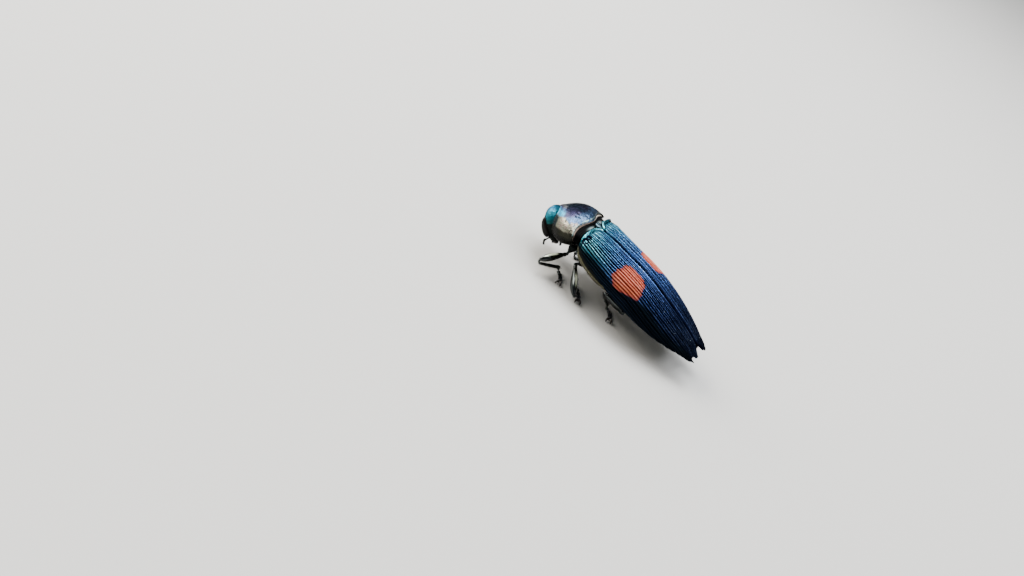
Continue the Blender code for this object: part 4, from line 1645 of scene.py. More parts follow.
@dataclass
class Prothorax:
    """The domed shield behind the head, a ring-shaped plate hollowed at both ends."""

    stance: Stance
    stations: tuple = (
        # distance ahead of the hind margin, half width, height of the dome, depth
        (0.0, 5.6, 1.45, 2.4), (0.7, 5.68, 2.5, 2.6), (1.8, 5.5, 3.3, 2.75),
        (3.0, 4.95, 3.62, 2.7), (4.0, 4.2, 3.6, 2.55), (4.9, 3.35, 3.35, 2.3),
    )
    square: float = 2.25
    side_slope: float = 0.12
    length: float = 4.9
    rear_lobe: float = 1.05
    lobe_width: float = 2.3
    hind_angle: float = 0.25
    front_lobe: float = 0.4
    front_sinus: float = 0.45
    front_recess: float = 1.0
    pit_depth: float = 0.03
    dimple_depth: float = 0.07
    furrow_depth: float = 0.02
    swell: float = 0.003
    # place across, share of the way forward
    dimples: tuple = ((2.6, 0.22), (2.25, 0.15), (1.7, 0.24), (4.35, 0.4), (0.75, 0.1))
    rear_hollow: tuple = (
        # distance, shrink and hind lobe of the sections inside the hind opening, the inmost first
        (1.1, 1.9, 0.0), (0.35, 0.75, 0.5), (0.1, 0.22, 0.92), (0.02, 0.08, 0.98),
    )
    front_hollow: tuple = (
        # distance back from the front, shrink and front curve, the outmost first
        (0.0, 0.1, 1.0), (0.1, 0.34, 0.97), (0.6, 0.55, 0.8), (1.9, 1.6, 0.0),
    )
    rows: int = 120
    columns: int = 440

    def ring(self, distance: Array, shrink: Array, rear: Array, front: Array) -> tuple[Array, Array, Array]:
        """Sections of the prothorax in its own frame.

        Args:
            distance: how far ahead of the hind margin, as a column.
            shrink: how far inside the outer face.
            rear: how much of the hind lobe and angles.
            front: how much of the front margin's curve.

        Returns:
            The points, their angle round the section and their height over the side line.
        """
        half_width, dome, depth = profile(self.stations, distance)
        angle = ring_angles(self.columns)
        across, rise = squarish(angle, self.square)
        x = (half_width - shrink) * across
        z = rise * np.where(rise > 0, dome - shrink, depth - shrink)
        share = np.abs(x) / half_width
        upper = z > 0
        middle = np.where(upper, bump(x, self.lobe_width), 0.0)
        corner = np.where(z >= 0, share**8, 0.0)
        under = np.where(upper, 0.0, (z / depth) ** 2)
        sinus = np.where(upper, (4 * share * (1 - share)) ** 2, 0.0)
        lobe = rear * (self.rear_lobe * middle + self.hind_angle * corner)
        recess = front * (self.front_recess * under + self.front_sinus * sinus - self.front_lobe * middle)
        y = lobe + recess - distance
        return np.stack([x, y, z - self.side_slope * distance], axis=-1), angle + 0 * x, z

    def section(self, *values: float) -> Array:
        """The points of one section, as a single row, by the four values that ring takes."""
        return self.ring(*(np.array([[value]]) for value in values))[0]

    def relief(self, points: Array, share: Array, angle: Array) -> tuple[Array, Array]:
        """Pits, hollows and margins of the outer face.

        Args:
            points: the plain face.
            share: 0 at the hind margin to 1 at the front, as a column.
            angle: the angle round the section.

        Returns:
            The height, and how deep in a groove or pit each place is.
        """
        x, y = points[..., 0], points[..., 1]
        up = np.sin(angle)
        arc = arc_lengths(points)
        coarse = pits(arc, y, 0.3, 0.085, 12.0) * (0.55 + 0.45 * smooth(np.abs(x), 1.0, 4.5))
        hind = bump(share - 0.012, 0.012) * (up > -0.2)
        middle = bump(x, 0.16) * smooth(share, 0.05, 0.2) * (up > 0) * (1 - smooth(share, 0.75, 0.95))
        dots = np.zeros(x.shape)
        for across, back in self.dimples:
            for sign in (1, -1):
                away = ((x - sign * across) / 0.2) ** 2 + ((share - back) * self.length / 0.16) ** 2
                dots += np.exp(-(away**2))
        dots *= up > 0
        height = -self.pit_depth * coarse + self.swell * waves(arc * 0.6, y * 0.8, 31.0)
        height += 0.08 * bump(share - 0.03, 0.024) - 0.06 * hind + 0.05 * bump(share - 0.985, 0.015)
        height += 0.06 * bump(up, 0.045) * (np.abs(x) > 2.0)
        height -= self.furrow_depth * middle + self.dimple_depth * dots
        front = smooth(share, 0.975, 0.995)
        return height, np.clip(0.8 * coarse + 0.9 * hind + 0.2 * middle + 0.9 * dots + front, 0, 1)

    def build(self) -> None:
        """Makes the prothorax."""
        share = np.linspace(0.0, 1.0, self.rows + 1)[:, None]
        rear = np.maximum(0.0, 1 - 2.5 * share) ** 1.5
        points, angle, z = self.ring(share * self.length, 0.0 * share, rear, share**3)
        height, groove = self.relief(points, share, angle)
        low = np.minimum(0.5 - 0.5 * z / 2.4, 1.0)
        # painted highlight: the shield's glints along the raised hind rim
        rim = bump(share - 0.03, 0.014) * (low < 0.45)
        numbers = {"groove": groove, "along": share + 0 * angle, "flank": low, "shoulder": rim}
        outer = Sheet(points, numbers)
        outer = outer.raised(height, outward(outer))
        hind = [self.section(step, tuck, lobe, 0.0) for step, tuck, lobe in self.rear_hollow]
        front = [self.section(self.length - back, tuck, 0.0, bow) for back, tuck, bow in self.front_hollow]
        for name, value in numbers.items():
            head = np.full((len(hind), self.columns), 1.0 if name in ("groove", "flank") else 0.0)
            tail = np.full((len(front), self.columns), 0.0 if name == "shoulder" else 1.0)
            numbers[name] = np.concatenate([head, value, tail])
        whole = Sheet(np.concatenate([*hind, outer.points, *front]), numbers)
        Shell().tube(whole).piece("prothorax", PROTHORAX_SHELL, self.stance.prothorax)


@dataclass
class Membrane:
    """The soft skin between the prothorax and the wing cases."""

    stance: Stance
    prothorax: Prothorax
    # where the skin starts, as the four values of a section of the prothorax
    start: tuple = (0.16, 0.3, 0.98, 0.0)
    end_y: float = -0.35
    end_lean: float = 0.25
    half_width: float = 4.75
    level: float = -2.35
    rise: float = 1.62
    depth: float = 2.1
    square: float = 2.4
    rows: int = 34
    thickness: float = 0.22
    folds: int = 9
    fold_depth: float = 0.05
    sag: float = 0.22
    # mound: middle and width from the body's middle, then as shares of the way back
    plates: tuple = (1.5, 0.75, 0.8, 0.16)

    def hind(self) -> Array:
        """The line under the prothorax's hind margin, in the world."""
        return to_world(self.stance.prothorax, self.prothorax.section(*self.start))

    def collar(self) -> Array:
        """The line on the middle thorax where the skin ends.

        Returns:
            Its points in the world.
        """
        across, up = squarish(ring_angles(self.prothorax.columns), self.square)
        y = self.end_y - self.end_lean * up
        z = self.level + np.where(up > 0, self.rise * up, self.depth * up)
        return to_world(self.stance.body, np.stack([self.half_width * across, y, z], axis=-1))

    def build(self) -> None:
        """Makes the ring of skin, pale beside the shield and painted dark behind as shade."""
        share = np.linspace(0.0, 1.0, self.rows)[:, None, None]
        first, last = self.hind(), self.collar()
        middle = (first.mean(axis=1, keepdims=True) + last.mean(axis=1, keepdims=True)) / 2
        line = first * (1 - share) + last * share
        inward = unit(middle - line)
        folds = self.fold_depth * np.sin(share * math.pi * self.folds) + self.sag * np.sin(share * math.pi)
        inner = line + inward * (folds + self.thickness)
        points = np.concatenate([line + inward * folds, inner[::-1]])
        x = points[..., 0]
        tone = np.concatenate([share, share[::-1]])[..., 0] + 0 * x
        plates = mound(np.abs(x), tone, self.plates)
        shell = Shell()
        index = shell.add(points, {"along": tone, "flank": smooth(-x, 0.2, 1.2), "shoulder": plates})
        shell.skin(np.concatenate([index, index[:1]]))
        mesh = shell.mesh("membrane_hind", WORLD)
        fix_normals(mesh)
        piece("membrane_hind", mesh, JOINT_SKIN, added=True)


@dataclass
class Head:
    """The head below the prothorax: a pitted skull, two tall eyes and the mouth."""

    stance: Stance
    stations: tuple = (
        # height, middle fore and aft, half width, reach forward, reach back
        (-2.65, -0.2, 1.35, 1.3, 0.65), (-2.2, -0.1, 1.7, 1.6, 0.9), (-1.4, 0.0, 2.25, 1.9, 1.1),
        (-0.2, 0.05, 2.65, 1.95, 1.4), (1.1, 0.0, 2.6, 1.85, 1.5), (2.2, -0.05, 2.15, 1.5, 1.15),
        (3.0, -0.1, 1.5, 0.95, 0.65), (3.3, -0.1, 0.8, 0.55, 0.3),
    )
    square: float = 2.2
    eye_centre: tuple = (2.1, -1.05, 0.2)
    eye_radii: tuple = (0.72, 0.8, 1.72)
    eye_lean: float = 8.0
    pit_depth: float = 0.03
    furrow_depth: float = 0.12
    brow_depth: float = 0.1
    socket_depth: float = 0.16
    eye_rim: float = 0.05
    swell: float = 0.03
    # mound: middle and width across the face, then up it
    socket: tuple = (1.3, 0.3, -1.9, 0.3)
    labrum: tuple = (
        # height, distance from the middle, half width, half depth
        (-3.14, 0.0, 0.52, 0.12), (-3.08, 0.0, 0.74, 0.24), (-2.94, 0.0, 0.9, 0.33),
        (-2.7, 0.0, 0.8, 0.3), (-2.5, 0.0, 0.7, 0.24),
    )
    labrum_y: float = -1.15
    labrum_columns: int = 48
    mandible: tuple = (
        (-3.27, 0.38, 0.08, 0.06), (-3.17, 0.62, 0.25, 0.26), (-3.0, 0.82, 0.39, 0.4),
        (-2.8, 0.8, 0.42, 0.42), (-2.5, 0.75, 0.36, 0.36),
    )
    mandible_y: float = -0.35
    mandible_columns: int = 32
    palp: tuple = (
        # place, radius
        (0.95, 0.5, -2.6, 0.18), (1.1, 0.62, -3.0, 0.22), (1.15, 0.55, -3.22, 0.21),
        (1.05, 0.38, -3.4, 0.11),
    )
    palp_rows: int = 34
    palp_columns: int = 16
    # the four points that steer the antenna's curve
    antenna: tuple = ((1.3, -1.15, -1.9), (2.3, -2.0, -2.05), (3.0, -1.3, -2.05), (3.6, -1.15, -2.4))
    antenna_joints: int = 11
    antenna_rows: int = 12
    antenna_columns: int = 20
    feeler_side: tuple = (0.0, 1.0, 0.2)
    lobe_rows: int = 26
    rows: int = 150
    columns: int = 200

    def eye_distance(self, points: Array) -> Array:
        """How far out some places are from the nearer eye.

        Args:
            points: the places.

        Returns:
            The distances, 1 on the eye's own face.
        """
        x, y, z = np.abs(points[..., 0]), points[..., 1], points[..., 2]
        lean = math.radians(self.eye_lean)
        dx, dy, dz = x - self.eye_centre[0], y - self.eye_centre[1], z - self.eye_centre[2]
        across = dx * math.cos(lean) + dz * math.sin(lean)
        up = -dx * math.sin(lean) + dz * math.cos(lean)
        a, b, c = self.eye_radii
        return np.sqrt((across / a) ** 2 + (dy / b) ** 2 + (up / c) ** 2)

    def skull(self) -> None:
        """Makes the skull."""
        height = np.linspace(self.stations[0][0], self.stations[-1][0], self.rows + 1)[:, None]
        middle, half_width, front, rear = profile(self.stations, height)
        angle = ring_angles(self.columns)
        across, forward = squarish(angle, self.square)
        x = half_width * across
        z = height + 0 * x
        sheet = Sheet(np.stack([x, middle - forward * np.where(forward > 0, front, rear), z], axis=-1))
        arc = arc_lengths(sheet.points)
        near_eye = self.eye_distance(sheet.points)
        face = (np.sin(angle) > 0) * (np.abs(x) < 1.9)
        coarse = pits(arc, z, 0.24, 0.075, 41.0)
        relief = -self.pit_depth * coarse - self.furrow_depth * face * bump(x, 0.28) * smooth(z, -1.6, -0.4)
        relief += self.swell * waves(arc * 0.9, z * 0.9, 44.0) + self.eye_rim * bump(near_eye - 1.16, 0.07)
        relief -= self.brow_depth * bump(z + 1.75, 0.1) * face
        for sign in (1, -1):
            relief = relief - self.socket_depth * mound(sign * x, z, self.socket) * face
        sheet = sheet.raised(relief, outward(sheet))
        low = 0.85 * smooth(1.9 - z, 0.1, 1.5) + 0.3 * (near_eye < 1.1) + smooth(np.sin(angle), 0.35, 0.85)
        sheet.numbers = {
            "groove": np.clip(0.8 * coarse + bump(near_eye - 1.05, 0.05) + 0.4 * face * bump(x, 0.12), 0, 1),
            "along": 1 - (z + 2.65) / 5.95,
            "flank": np.minimum(low, 1),
            "shoulder": smooth(z, 2.5, 3.1) * 0.8,
        }
        crown = sheet.points[-1].mean(axis=0) + np.array([0.0, 0.0, 0.1])
        shell = Shell().tube(sheet, (sheet.points[0].mean(axis=0), crown))
        shell.piece("head", HEAD_SHELL, self.stance.head)

    def lobe(self, stations: tuple, columns: int, side: float, y: float) -> Shell:
        """A rounded lobe that hangs below the head.

        Args:
            stations: rows of height, distance from the middle, half width and half depth.
            columns: points in a ring.
            side: 1, -1, or 0 for a lobe in the middle.
            y: its place fore and aft.

        Returns:
            Its shell.
        """
        height = np.linspace(stations[0][0], stations[-1][0], self.lobe_rows)[:, None]
        middle, half_width, depth = profile(stations, height)
        across, forward = squarish(ring_angles(columns), self.square)
        x = side * middle + half_width * across
        sheet = Sheet(np.stack([x, y - depth * forward, height + 0 * x], axis=-1))
        dots = pits(arc_lengths(sheet.points), sheet.points[..., 2], 0.16, 0.045, 61.0)
        sheet = sheet.raised(-0.015 * dots, outward(sheet))
        sheet.numbers = {"groove": dots, "along": 0 * x + 0.5, "flank": 0 * x}
        return Shell().tube(sheet)

    def feeler(self) -> Shell:
        """The left mouth feeler, waisted between its joints.

        Returns:
            Its shell.
        """
        points = np.array(self.palp)
        t = np.linspace(0, len(points) - 1, self.palp_rows)
        radius = profile(np.concatenate([np.arange(4.0)[:, None], points[:, 3:]], axis=1), t)[0]
        radius = radius * (1 - 0.22 * bump(np.modf(t)[0] - 0.5, 0.12))
        route = along_route(points[:, :3], self.palp_rows)
        sheet = tube_sheet(route, radius, radius, self.palp_columns, self.feeler_side)
        sheet.numbers = plain_numbers(sheet, 0.0, 0.5)
        return Shell().tube(sheet)

    def mouth(self) -> None:
        """Makes the upper lip, the jaws and the mouth feelers."""
        lip = self.lobe(self.labrum, self.labrum_columns, 0.0, self.labrum_y)
        lip.piece("labrum", LEG_SHELL, self.stance.head)
        feeler = self.feeler()
        for side in Side:
            jaw = self.lobe(self.mandible, self.mandible_columns, side.value, self.mandible_y)
            jaw.piece(f"mandible_{side.word}", HORN, self.stance.head)
            feeler.piece(f"palp_{side.word}", LEG_SHELL, self.stance.head, side is Side.RIGHT)

    def antennae(self) -> None:
        """Makes the eleven-jointed, saw-toothed feelers."""
        t = np.linspace(0, 1, self.antenna_joints * self.antenna_rows + 1)
        a, b, c, d = (np.array(point) for point in self.antenna)
        v = t[:, None]
        u = 1 - v
        route = a * u**3 + b * 3 * u * u * v + c * 3 * u * v * v + d * v**3
        joint = np.minimum(np.floor(t * self.antenna_joints - 1e-9), self.antenna_joints - 1)
        part = t * self.antenna_joints - joint
        swell = smooth(part, 0.0, 0.75) * (1 - 0.75 * smooth(part, 0.86, 1.0))
        toothed = smooth(joint, 2.0, 3.5)
        radius = (0.1 + (0.08 - 0.02 * toothed) * swell) * (1 - 0.15 * t)
        reach = toothed * 0.09 * swell
        sheet = tube_sheet(route, radius + reach, radius, self.antenna_columns, self.feeler_side)
        sheet.points += (frames_along(route, self.feeler_side)[0] * reach[:, None])[:, None, :]
        sheet.numbers = plain_numbers(sheet, bump(np.abs(part - 0.5) - 0.5, 0.06), t)
        shell = Shell().tube(sheet)
        for side in Side:
            shell.piece(f"antenna_{side.word}", LEG_SHELL, self.stance.head, side is Side.RIGHT)

    def eyes(self) -> None:
        """Makes the tall eyes with their facets."""
        for side in Side:
            name = f"eye_{side.word}"
            turn = math.radians(-side.value * self.eye_lean)
            lean = np.eye(4)
            lean[[0, 0, 2, 2], [0, 2, 0, 2]] = math.cos(turn), math.sin(turn), -math.sin(turn), math.cos(turn)
            centre = moved((side.value * self.eye_centre[0], *self.eye_centre[1:]))
            shape = self.stance.head @ centre @ lean @ np.diag([*self.eye_radii, 1.0])
            mesh = FacetTree().mesh(name, EYE.material())
            places = np.empty(len(mesh.vertices) * 3)
            mesh.vertices.foreach_get("co", places)
            mesh.vertices.foreach_set("co", (to_world(shape, places.reshape(-1, 3)) * MM).ravel())
            mesh.update()
            fix_normals(mesh)
            piece(name, mesh, EYE)

    def build(self) -> None:
        """Makes the head's pieces."""
        self.skull()
        self.eyes()
        self.mouth()
        self.antennae()


# Legs

UPPER_JOINTS = ("hip", "trochanter", "knee")
LOWER_JOINTS = ("ankle", "bend", "toe")


@dataclass(frozen=True)
class LegLine:
    """The joints of one leg, as on the left side: three of the body frame, three of the floor under it."""

    pair: str
    side: Side
    hip: Sequence[float]
    trochanter: Sequence[float]
    knee: Sequence[float]
    ankle: Sequence[float]
    bend: Sequence[float]
    toe: Sequence[float]

    @property
    def name(self) -> str:
        """The leg's name in its pieces' names."""
        return f"{self.pair}_{self.side.word}"

    @property
    def stout(self) -> bool:
        """Whether the thigh is stout."""
        return self.pair != "hind"

    def placed(self, stance: Stance) -> "LegLine":
        """The leg in its place.

        Args:
            stance: how the body stands.

        Returns:
            The leg with its joints in the world.
        """
        mirror = np.array([self.side.value, 1.0, 1.0])
        upper = {name: to_world(stance.body, mirror * getattr(self, name)) for name in UPPER_JOINTS}
        lower = {name: stance.on_floor(*(mirror[:2] * getattr(self, name))) for name in LOWER_JOINTS}
        return replace(self, **upper, **lower)


@dataclass
class Legs:
    """Six legs, each with its root, thigh, shin, five-lobed foot and pair of claws."""

    stance: Stance
    lines: tuple = (
        # pair, hip and trochanter, then the knee, ankle, bend and toe of the left leg and of the right one
        (
            "front", (1.55, -0.55, -5.35), (2.6, -0.3, -7.1),
            ((7.55, -2.25, -8.55), (3.0, 0.75), (3.7, 2.15), (5.15, 2.5)),
            ((7.45, -2.65, -8.4), (3.15, 0.45), (3.9, 1.75), (5.35, 2.0)),
        ),
        (
            "middle", (1.75, 3.2, -5.3), (2.7, 1.95, -7.0),
            ((6.9, 5.8, -8.35), (2.4, 4.2), (4.1, 6.3), (5.45, 6.85)),
            ((7.0, 5.3, -8.15), (2.6, 4.2), (4.3, 6.1), (5.7, 6.55)),
        ),
        (
            "hind", (1.55, 12.95, -4.6), (2.5, 13.2, -6.1),
            ((5.45, 9.1, -4.2), (1.65, 10.75), (2.05, 12.2), (3.55, 12.6)),
            ((5.55, 9.4, -4.25), (1.95, 11.45), (2.45, 12.95), (4.0, 13.4)),
        ),
    )
    coxa_profile: tuple = (
        # share of the way from the hip, radius
        (-0.35, 0.26), (-0.22, 0.62), (0.1, 0.8), (0.5, 0.72), (0.85, 0.46), (1.0, 0.3), (1.04, 0.12)
    )
    coxa_room: float = 0.52
    stout_femur_profile: tuple = (
        # share of the length, half width, half thickness
        (0.0, 0.24, 0.22), (0.05, 0.37, 0.34), (0.1, 0.38, 0.35), (0.13, 0.34, 0.32), (0.18, 0.42, 0.38),
        (0.45, 0.66, 0.58), (0.62, 0.72, 0.62), (0.8, 0.64, 0.56), (0.93, 0.45, 0.39), (1.0, 0.26, 0.24),
    )
    femur_profile: tuple = (
        (0.0, 0.24, 0.22), (0.05, 0.37, 0.34), (0.1, 0.38, 0.35), (0.13, 0.33, 0.31), (0.18, 0.39, 0.36),
        (0.45, 0.54, 0.47), (0.8, 0.43, 0.38), (0.94, 0.36, 0.31), (1.0, 0.24, 0.22),
    )
    tibia_profile: tuple = (
        (0.0, 0.12, 0.12), (0.02, 0.19, 0.19), (0.05, 0.25, 0.24), (0.1, 0.28, 0.26), (0.4, 0.31, 0.29),
        (0.9, 0.34, 0.31), (0.97, 0.31, 0.28), (1.0, 0.18, 0.18),
    )
    coxa_rows: int = 34
    coxa_columns: int = 48
    femur_rows: int = 96
    tibia_rows: int = 90
    limb_columns: int = 40
    # rows and columns of the smaller tubes
    femur_neck: tuple = (14, 28)
    tibia_neck: tuple = (18, 24)
    foot_neck: tuple = (16, 20)
    spur: tuple = (10, 10)
    claw_pair: tuple = (90, 18)
    knee_step: float = 0.72
    ankle_height: float = 0.96
    bow: float = -0.08
    joints: int = 5
    joint_rows: int = 26
    foot_width: float = 0.4
    waist: float = 0.2
    last_width: float = 0.27 * 1.06
    foot_height: float = 0.48
    foot_square: float = 2.6
    claw_root: float = 0.32
    claw_arm: tuple = (
        # ahead, aside, height, radius
        (0.74, 0.36, 0.05, 0.025), (0.7, 0.41, 0.14, 0.065), (0.56, 0.45, 0.3, 0.14),
        (0.28, 0.34, 0.45, 0.21), (0.05, 0.14, 0.42, 0.24),
    )

    def dress(self, sheet: Sheet, share: Array, seed: float, depth: float = 0.012) -> Sheet:
        """A limb's sheet with pits and the numbers of its finish.

        Args:
            sheet: its plain rings.
            share: each ring's place along it, from 0 to 1.
            seed: which scatter of pits.
            depth: how deep the pits are.

        Returns:
            The finished sheet.
        """
        arc = arc_lengths(sheet.points)
        length = np.linalg.norm(sheet.points[-1].mean(axis=0) - sheet.points[0].mean(axis=0))
        dots = pits(arc, share[:, None] * length, 0.17, 0.045, seed)
        finished = sheet.raised(-depth * dots, outward(sheet))
        finished.numbers = plain_numbers(sheet, 0.0, share) | {"groove": 0.5 * dots}
        return finished

    def limb(self, start: Array, end: Array, stations: tuple, bow: float, rows: int) -> Sheet:
        """A thigh's or shin's rings.

        Args:
            start: where it starts.
            end: where it ends.
            stations: rows of share, half width and half thickness.
            bow: how far it bends up in its middle.
            rows: rings.

        Returns:
            The sheet.
        """
        ahead = unit(end - start)
        up = unit(np.array([0.0, 0.0, 1.0]) - ahead * ahead[2])
        share = np.linspace(stations[0][0], stations[-1][0], rows)
        wide, thick = profile(stations, share)
        route = start + (end - start) * share[:, None] + up * (bow * np.sin(math.pi * share))[:, None]
        sheet = tube_sheet(route, wide, thick, self.limb_columns, np.cross(ahead, up))
        return self.dress(sheet, np.clip(share, 0, 1), 73.0, 0.006)

    def root(self, leg: LegLine) -> None:
        """Makes a leg's root.

        Args:
            leg: the leg's joints.
        """
        way = leg.trochanter - leg.hip
        reach = np.linalg.norm(way) - self.coxa_room
        share = np.linspace(self.coxa_profile[0][0], self.coxa_profile[-1][0], self.coxa_rows)
        radius = profile(self.coxa_profile, share)[0]
        route = leg.hip + unit(way) * reach * share[:, None]
        sheet = tube_sheet(route, radius, radius, self.coxa_columns, ACROSS)
        sheet = self.dress(sheet, (share + 0.35) / 1.4, 71.0)
        sheet.numbers["flank"] = sheet.numbers["flank"] + 0.75
        Shell().tube(sheet).piece(f"coxa_{leg.name}", UNDERSIDE_SHELL)

    def femur(self, leg: LegLine) -> None:
        """Makes a thigh, its first part reaching back into the root.

        Args:
            leg: the leg's joints.
        """
        overlap = unit(leg.knee - leg.trochanter) * 0.05
        stations = self.stout_femur_profile if leg.stout else self.femur_profile
        sheet = self.limb(leg.trochanter + overlap, leg.knee - overlap, stations, 0.0, self.femur_rows)
        rise = sheet.normals[..., 2] * outward(sheet)
        share = sheet.numbers["along"]
        # painted highlight: a pale streak along the top of the stout thighs, read by the leg finish
        highlight_mask = smooth(rise, 0.84, 0.93) * smooth(share, 0.25, 0.45) * (1 - smooth(share, 0.86, 0.96))
        sheet.numbers["shoulder"] = highlight_mask * leg.stout
        rows, columns = self.femur_neck
        route = leg.trochanter + np.linspace(0.75, -0.3, rows)[:, None] * unit(leg.hip - leg.trochanter)
        radius = np.interp(np.linspace(0, 1, rows), (0, 0.2, 0.8, 1.0), (0.2, 0.27, 0.3, 0.12))
        neck = tube_sheet(route, radius, radius, columns, ACROSS)
        neck = self.dress(neck, np.linspace(0, 0.05, rows), 74.0)
        Shell().tube(sheet).tube(neck).piece(f"femur_{leg.name}", LEG_SHELL)

    def tibia(self, leg: LegLine) -> Object:
        """Makes a shin with its two end spurs.

        Args:
            leg: the leg's joints.

        Returns:
            The shin.
        """
        knee = leg.knee
        ahead = unit(knee - leg.trochanter)
        joint = leg.ankle + np.array([0.0, 0.0, self.ankle_height])
        below = joint - knee
        below = unit(below - ahead * np.dot(below, ahead))
        start = knee + below * self.knee_step
        side = np.cross(ahead, below)
        bends = [
            knee - ahead * 0.22 + below * 0.02, knee - ahead * 0.02 + below * 0.16,
            knee + ahead * 0.02 + below * 0.42, start + (joint - start) * 0.06,
        ]
        rows, columns = self.tibia_neck
        radius = np.interp(np.linspace(0, 1, rows), (0, 0.15, 1.0), (0.1, 0.19, 0.2))
        neck = tube_sheet(along_route(np.array(bends), rows), radius, radius * 0.95, columns, side)
        neck = self.dress(neck, np.linspace(0, 0.1, rows), 75.0)
        shin = self.limb(start, joint, self.tibia_profile, self.bow, self.tibia_rows)
        shell = Shell().tube(shin).tube(neck)
        down = unit(joint - start)
        rows, columns = self.spur
        thick = np.linspace(0.085, 0.015, rows)
        for turn in (1, -1):
            base = joint - down * 0.18 + side * turn * 0.17
            tip = base + down * 0.5 + side * turn * 0.1 + below * 0.04
            spur = along_route(np.stack([base, base * 0.5 + tip * 0.5 + side * turn * 0.03, tip]), rows)
            rings = tube_sheet(spur, thick, thick, columns, below)
            rings.numbers = plain_numbers(rings, 0.5, 1.0)
            shell.tube(rings)
        return shell.piece(f"tibia_{leg.name}", LEG_SHELL)

    def foot(self, leg: LegLine) -> None:
        """Makes a foot's five lobed joints, each widest near its end and notched there.

        Args:
            leg: the leg's joints.
        """
        t = np.linspace(0.0, 0.99, self.joints * self.joint_rows)[:, None]
        joint = np.minimum(np.floor(t * self.joints), self.joints - 1)
        part = t * self.joints - joint
        last = joint == self.joints - 1
        full = np.where(last, self.last_width, self.foot_width - 0.025 * (3 - joint) * (joint < 3))
        rise, fall = smooth(part, 0.02, 0.66), smooth(part, 0.9, 1.0)
        lift = 1 - smooth(t, 0.0, 0.07)
        half_width = (self.waist + (full - self.waist) * rise) * (1 - 0.42 * fall * ~last)
        high = 0.34 + (self.foot_height - 0.34) * rise - 0.1 * fall + 0.12 * lift
        low = 0.16 * (1 - smooth(part, 0.12, 0.4)) + 0.12 * fall
        low = np.where(t < 0.02, 0.2, low) + 0.1 * lift
        aside, up = squarish(ring_angles(self.limb_columns), self.foot_square)
        notch = 0.1 * (aside**2 - 0.35) * smooth(part, 0.45, 0.9) * ~last
        u = (t + notch / self.joints * 1.6)[..., None]
        route = leg.ankle * (1 - u) ** 2 + leg.bend * 2 * u * (1 - u) + leg.toe * u * u
        ahead = unit((leg.bend - leg.ankle) * (1 - u) + (leg.toe - leg.bend) * u)
        across = np.stack([-ahead[..., 1], ahead[..., 0], 0 * ahead[..., 0]], axis=-1)
        points = route + across * (half_width * aside)[..., None]
        points[..., 2] = np.maximum((low + high) / 2 + (high - low) / 2 * up, 0.0)
        dots = pits(arc_lengths(points), t * 4.2, 0.15, 0.04, 77.0) * (up > 0)
        points[..., 2] -= 0.01 * dots * (up > 0.3)
        pad = smooth(-up, 0.2, 0.7) * (low < 0.08)
        shell = Shell().tube(Sheet(points, {"groove": 0.6 * dots, "along": t, "flank": pad}))
        start = leg.ankle + np.array([0.0, 0.0, self.ankle_height + 0.1])
        end = np.array([*route[4, 0, :2], 0.34])
        middle = (start + end) / 2 + (route[0, 0] - route[4, 0]) * 0.25
        rows, columns = self.foot_neck
        radius = np.interp(np.linspace(0, 1, rows), (0, 0.4, 1.0), (0.11, 0.15, 0.17))
        route = along_route(np.stack([start, middle, end]), rows)
        neck = tube_sheet(route, radius, radius, columns, (1.0, 0.1, 0.0))
        neck.numbers = plain_numbers(neck, 0.3, 0.0)
        shell.tube(neck).piece(f"tarsus_{leg.name}", LEG_SHELL, fixed=True)

    def claws(self, leg: LegLine) -> None:
        """Makes a pair of hooked claws joined at their root.

        Args:
            leg: the leg's joints.
        """
        ahead = unit(leg.toe - leg.bend)
        across = np.array([-ahead[1], ahead[0], 0.0])
        root = leg.toe + ahead * self.claw_root
        turns = [(-1, *step) for step in self.claw_arm] + [(1, *step) for step in self.claw_arm[::-1]]
        points = [
            [*(root + ahead * far + across * side * wide)[:2], *rest] for side, far, wide, *rest in turns
        ]
        rows, columns = self.claw_pair
        line = along_route(np.array(points), rows)
        sheet = tube_sheet(line[:, :3], line[:, 3], line[:, 3], columns, (0.0, 0.0, 1.0))
        sheet.points[..., 2] = np.maximum(sheet.points[..., 2], 0.0)
        Shell().tube(sheet).piece(f"claws_{leg.name}", HORN)

    def build(self) -> list[Object]:
        """Makes all six legs.

        Returns:
            Their shins.
        """
        shins = []
        for pair, hip, trochanter, *sides in self.lines:
            for side, joints in zip(Side, sides):
                leg = LegLine(pair, side, hip, trochanter, *joints).placed(self.stance)
                self.root(leg)
                self.femur(leg)
                shins.append(self.tibia(leg))
                self.foot(leg)
                self.claws(leg)
        return shins


# Bristles


@dataclass(frozen=True)
class Coat:
    """A sort of bristle: how many in a square millimetre, its size, its highest slope and its lie."""

    density: float
    length: float
    thickness: float
    highest: float
    lie: tuple


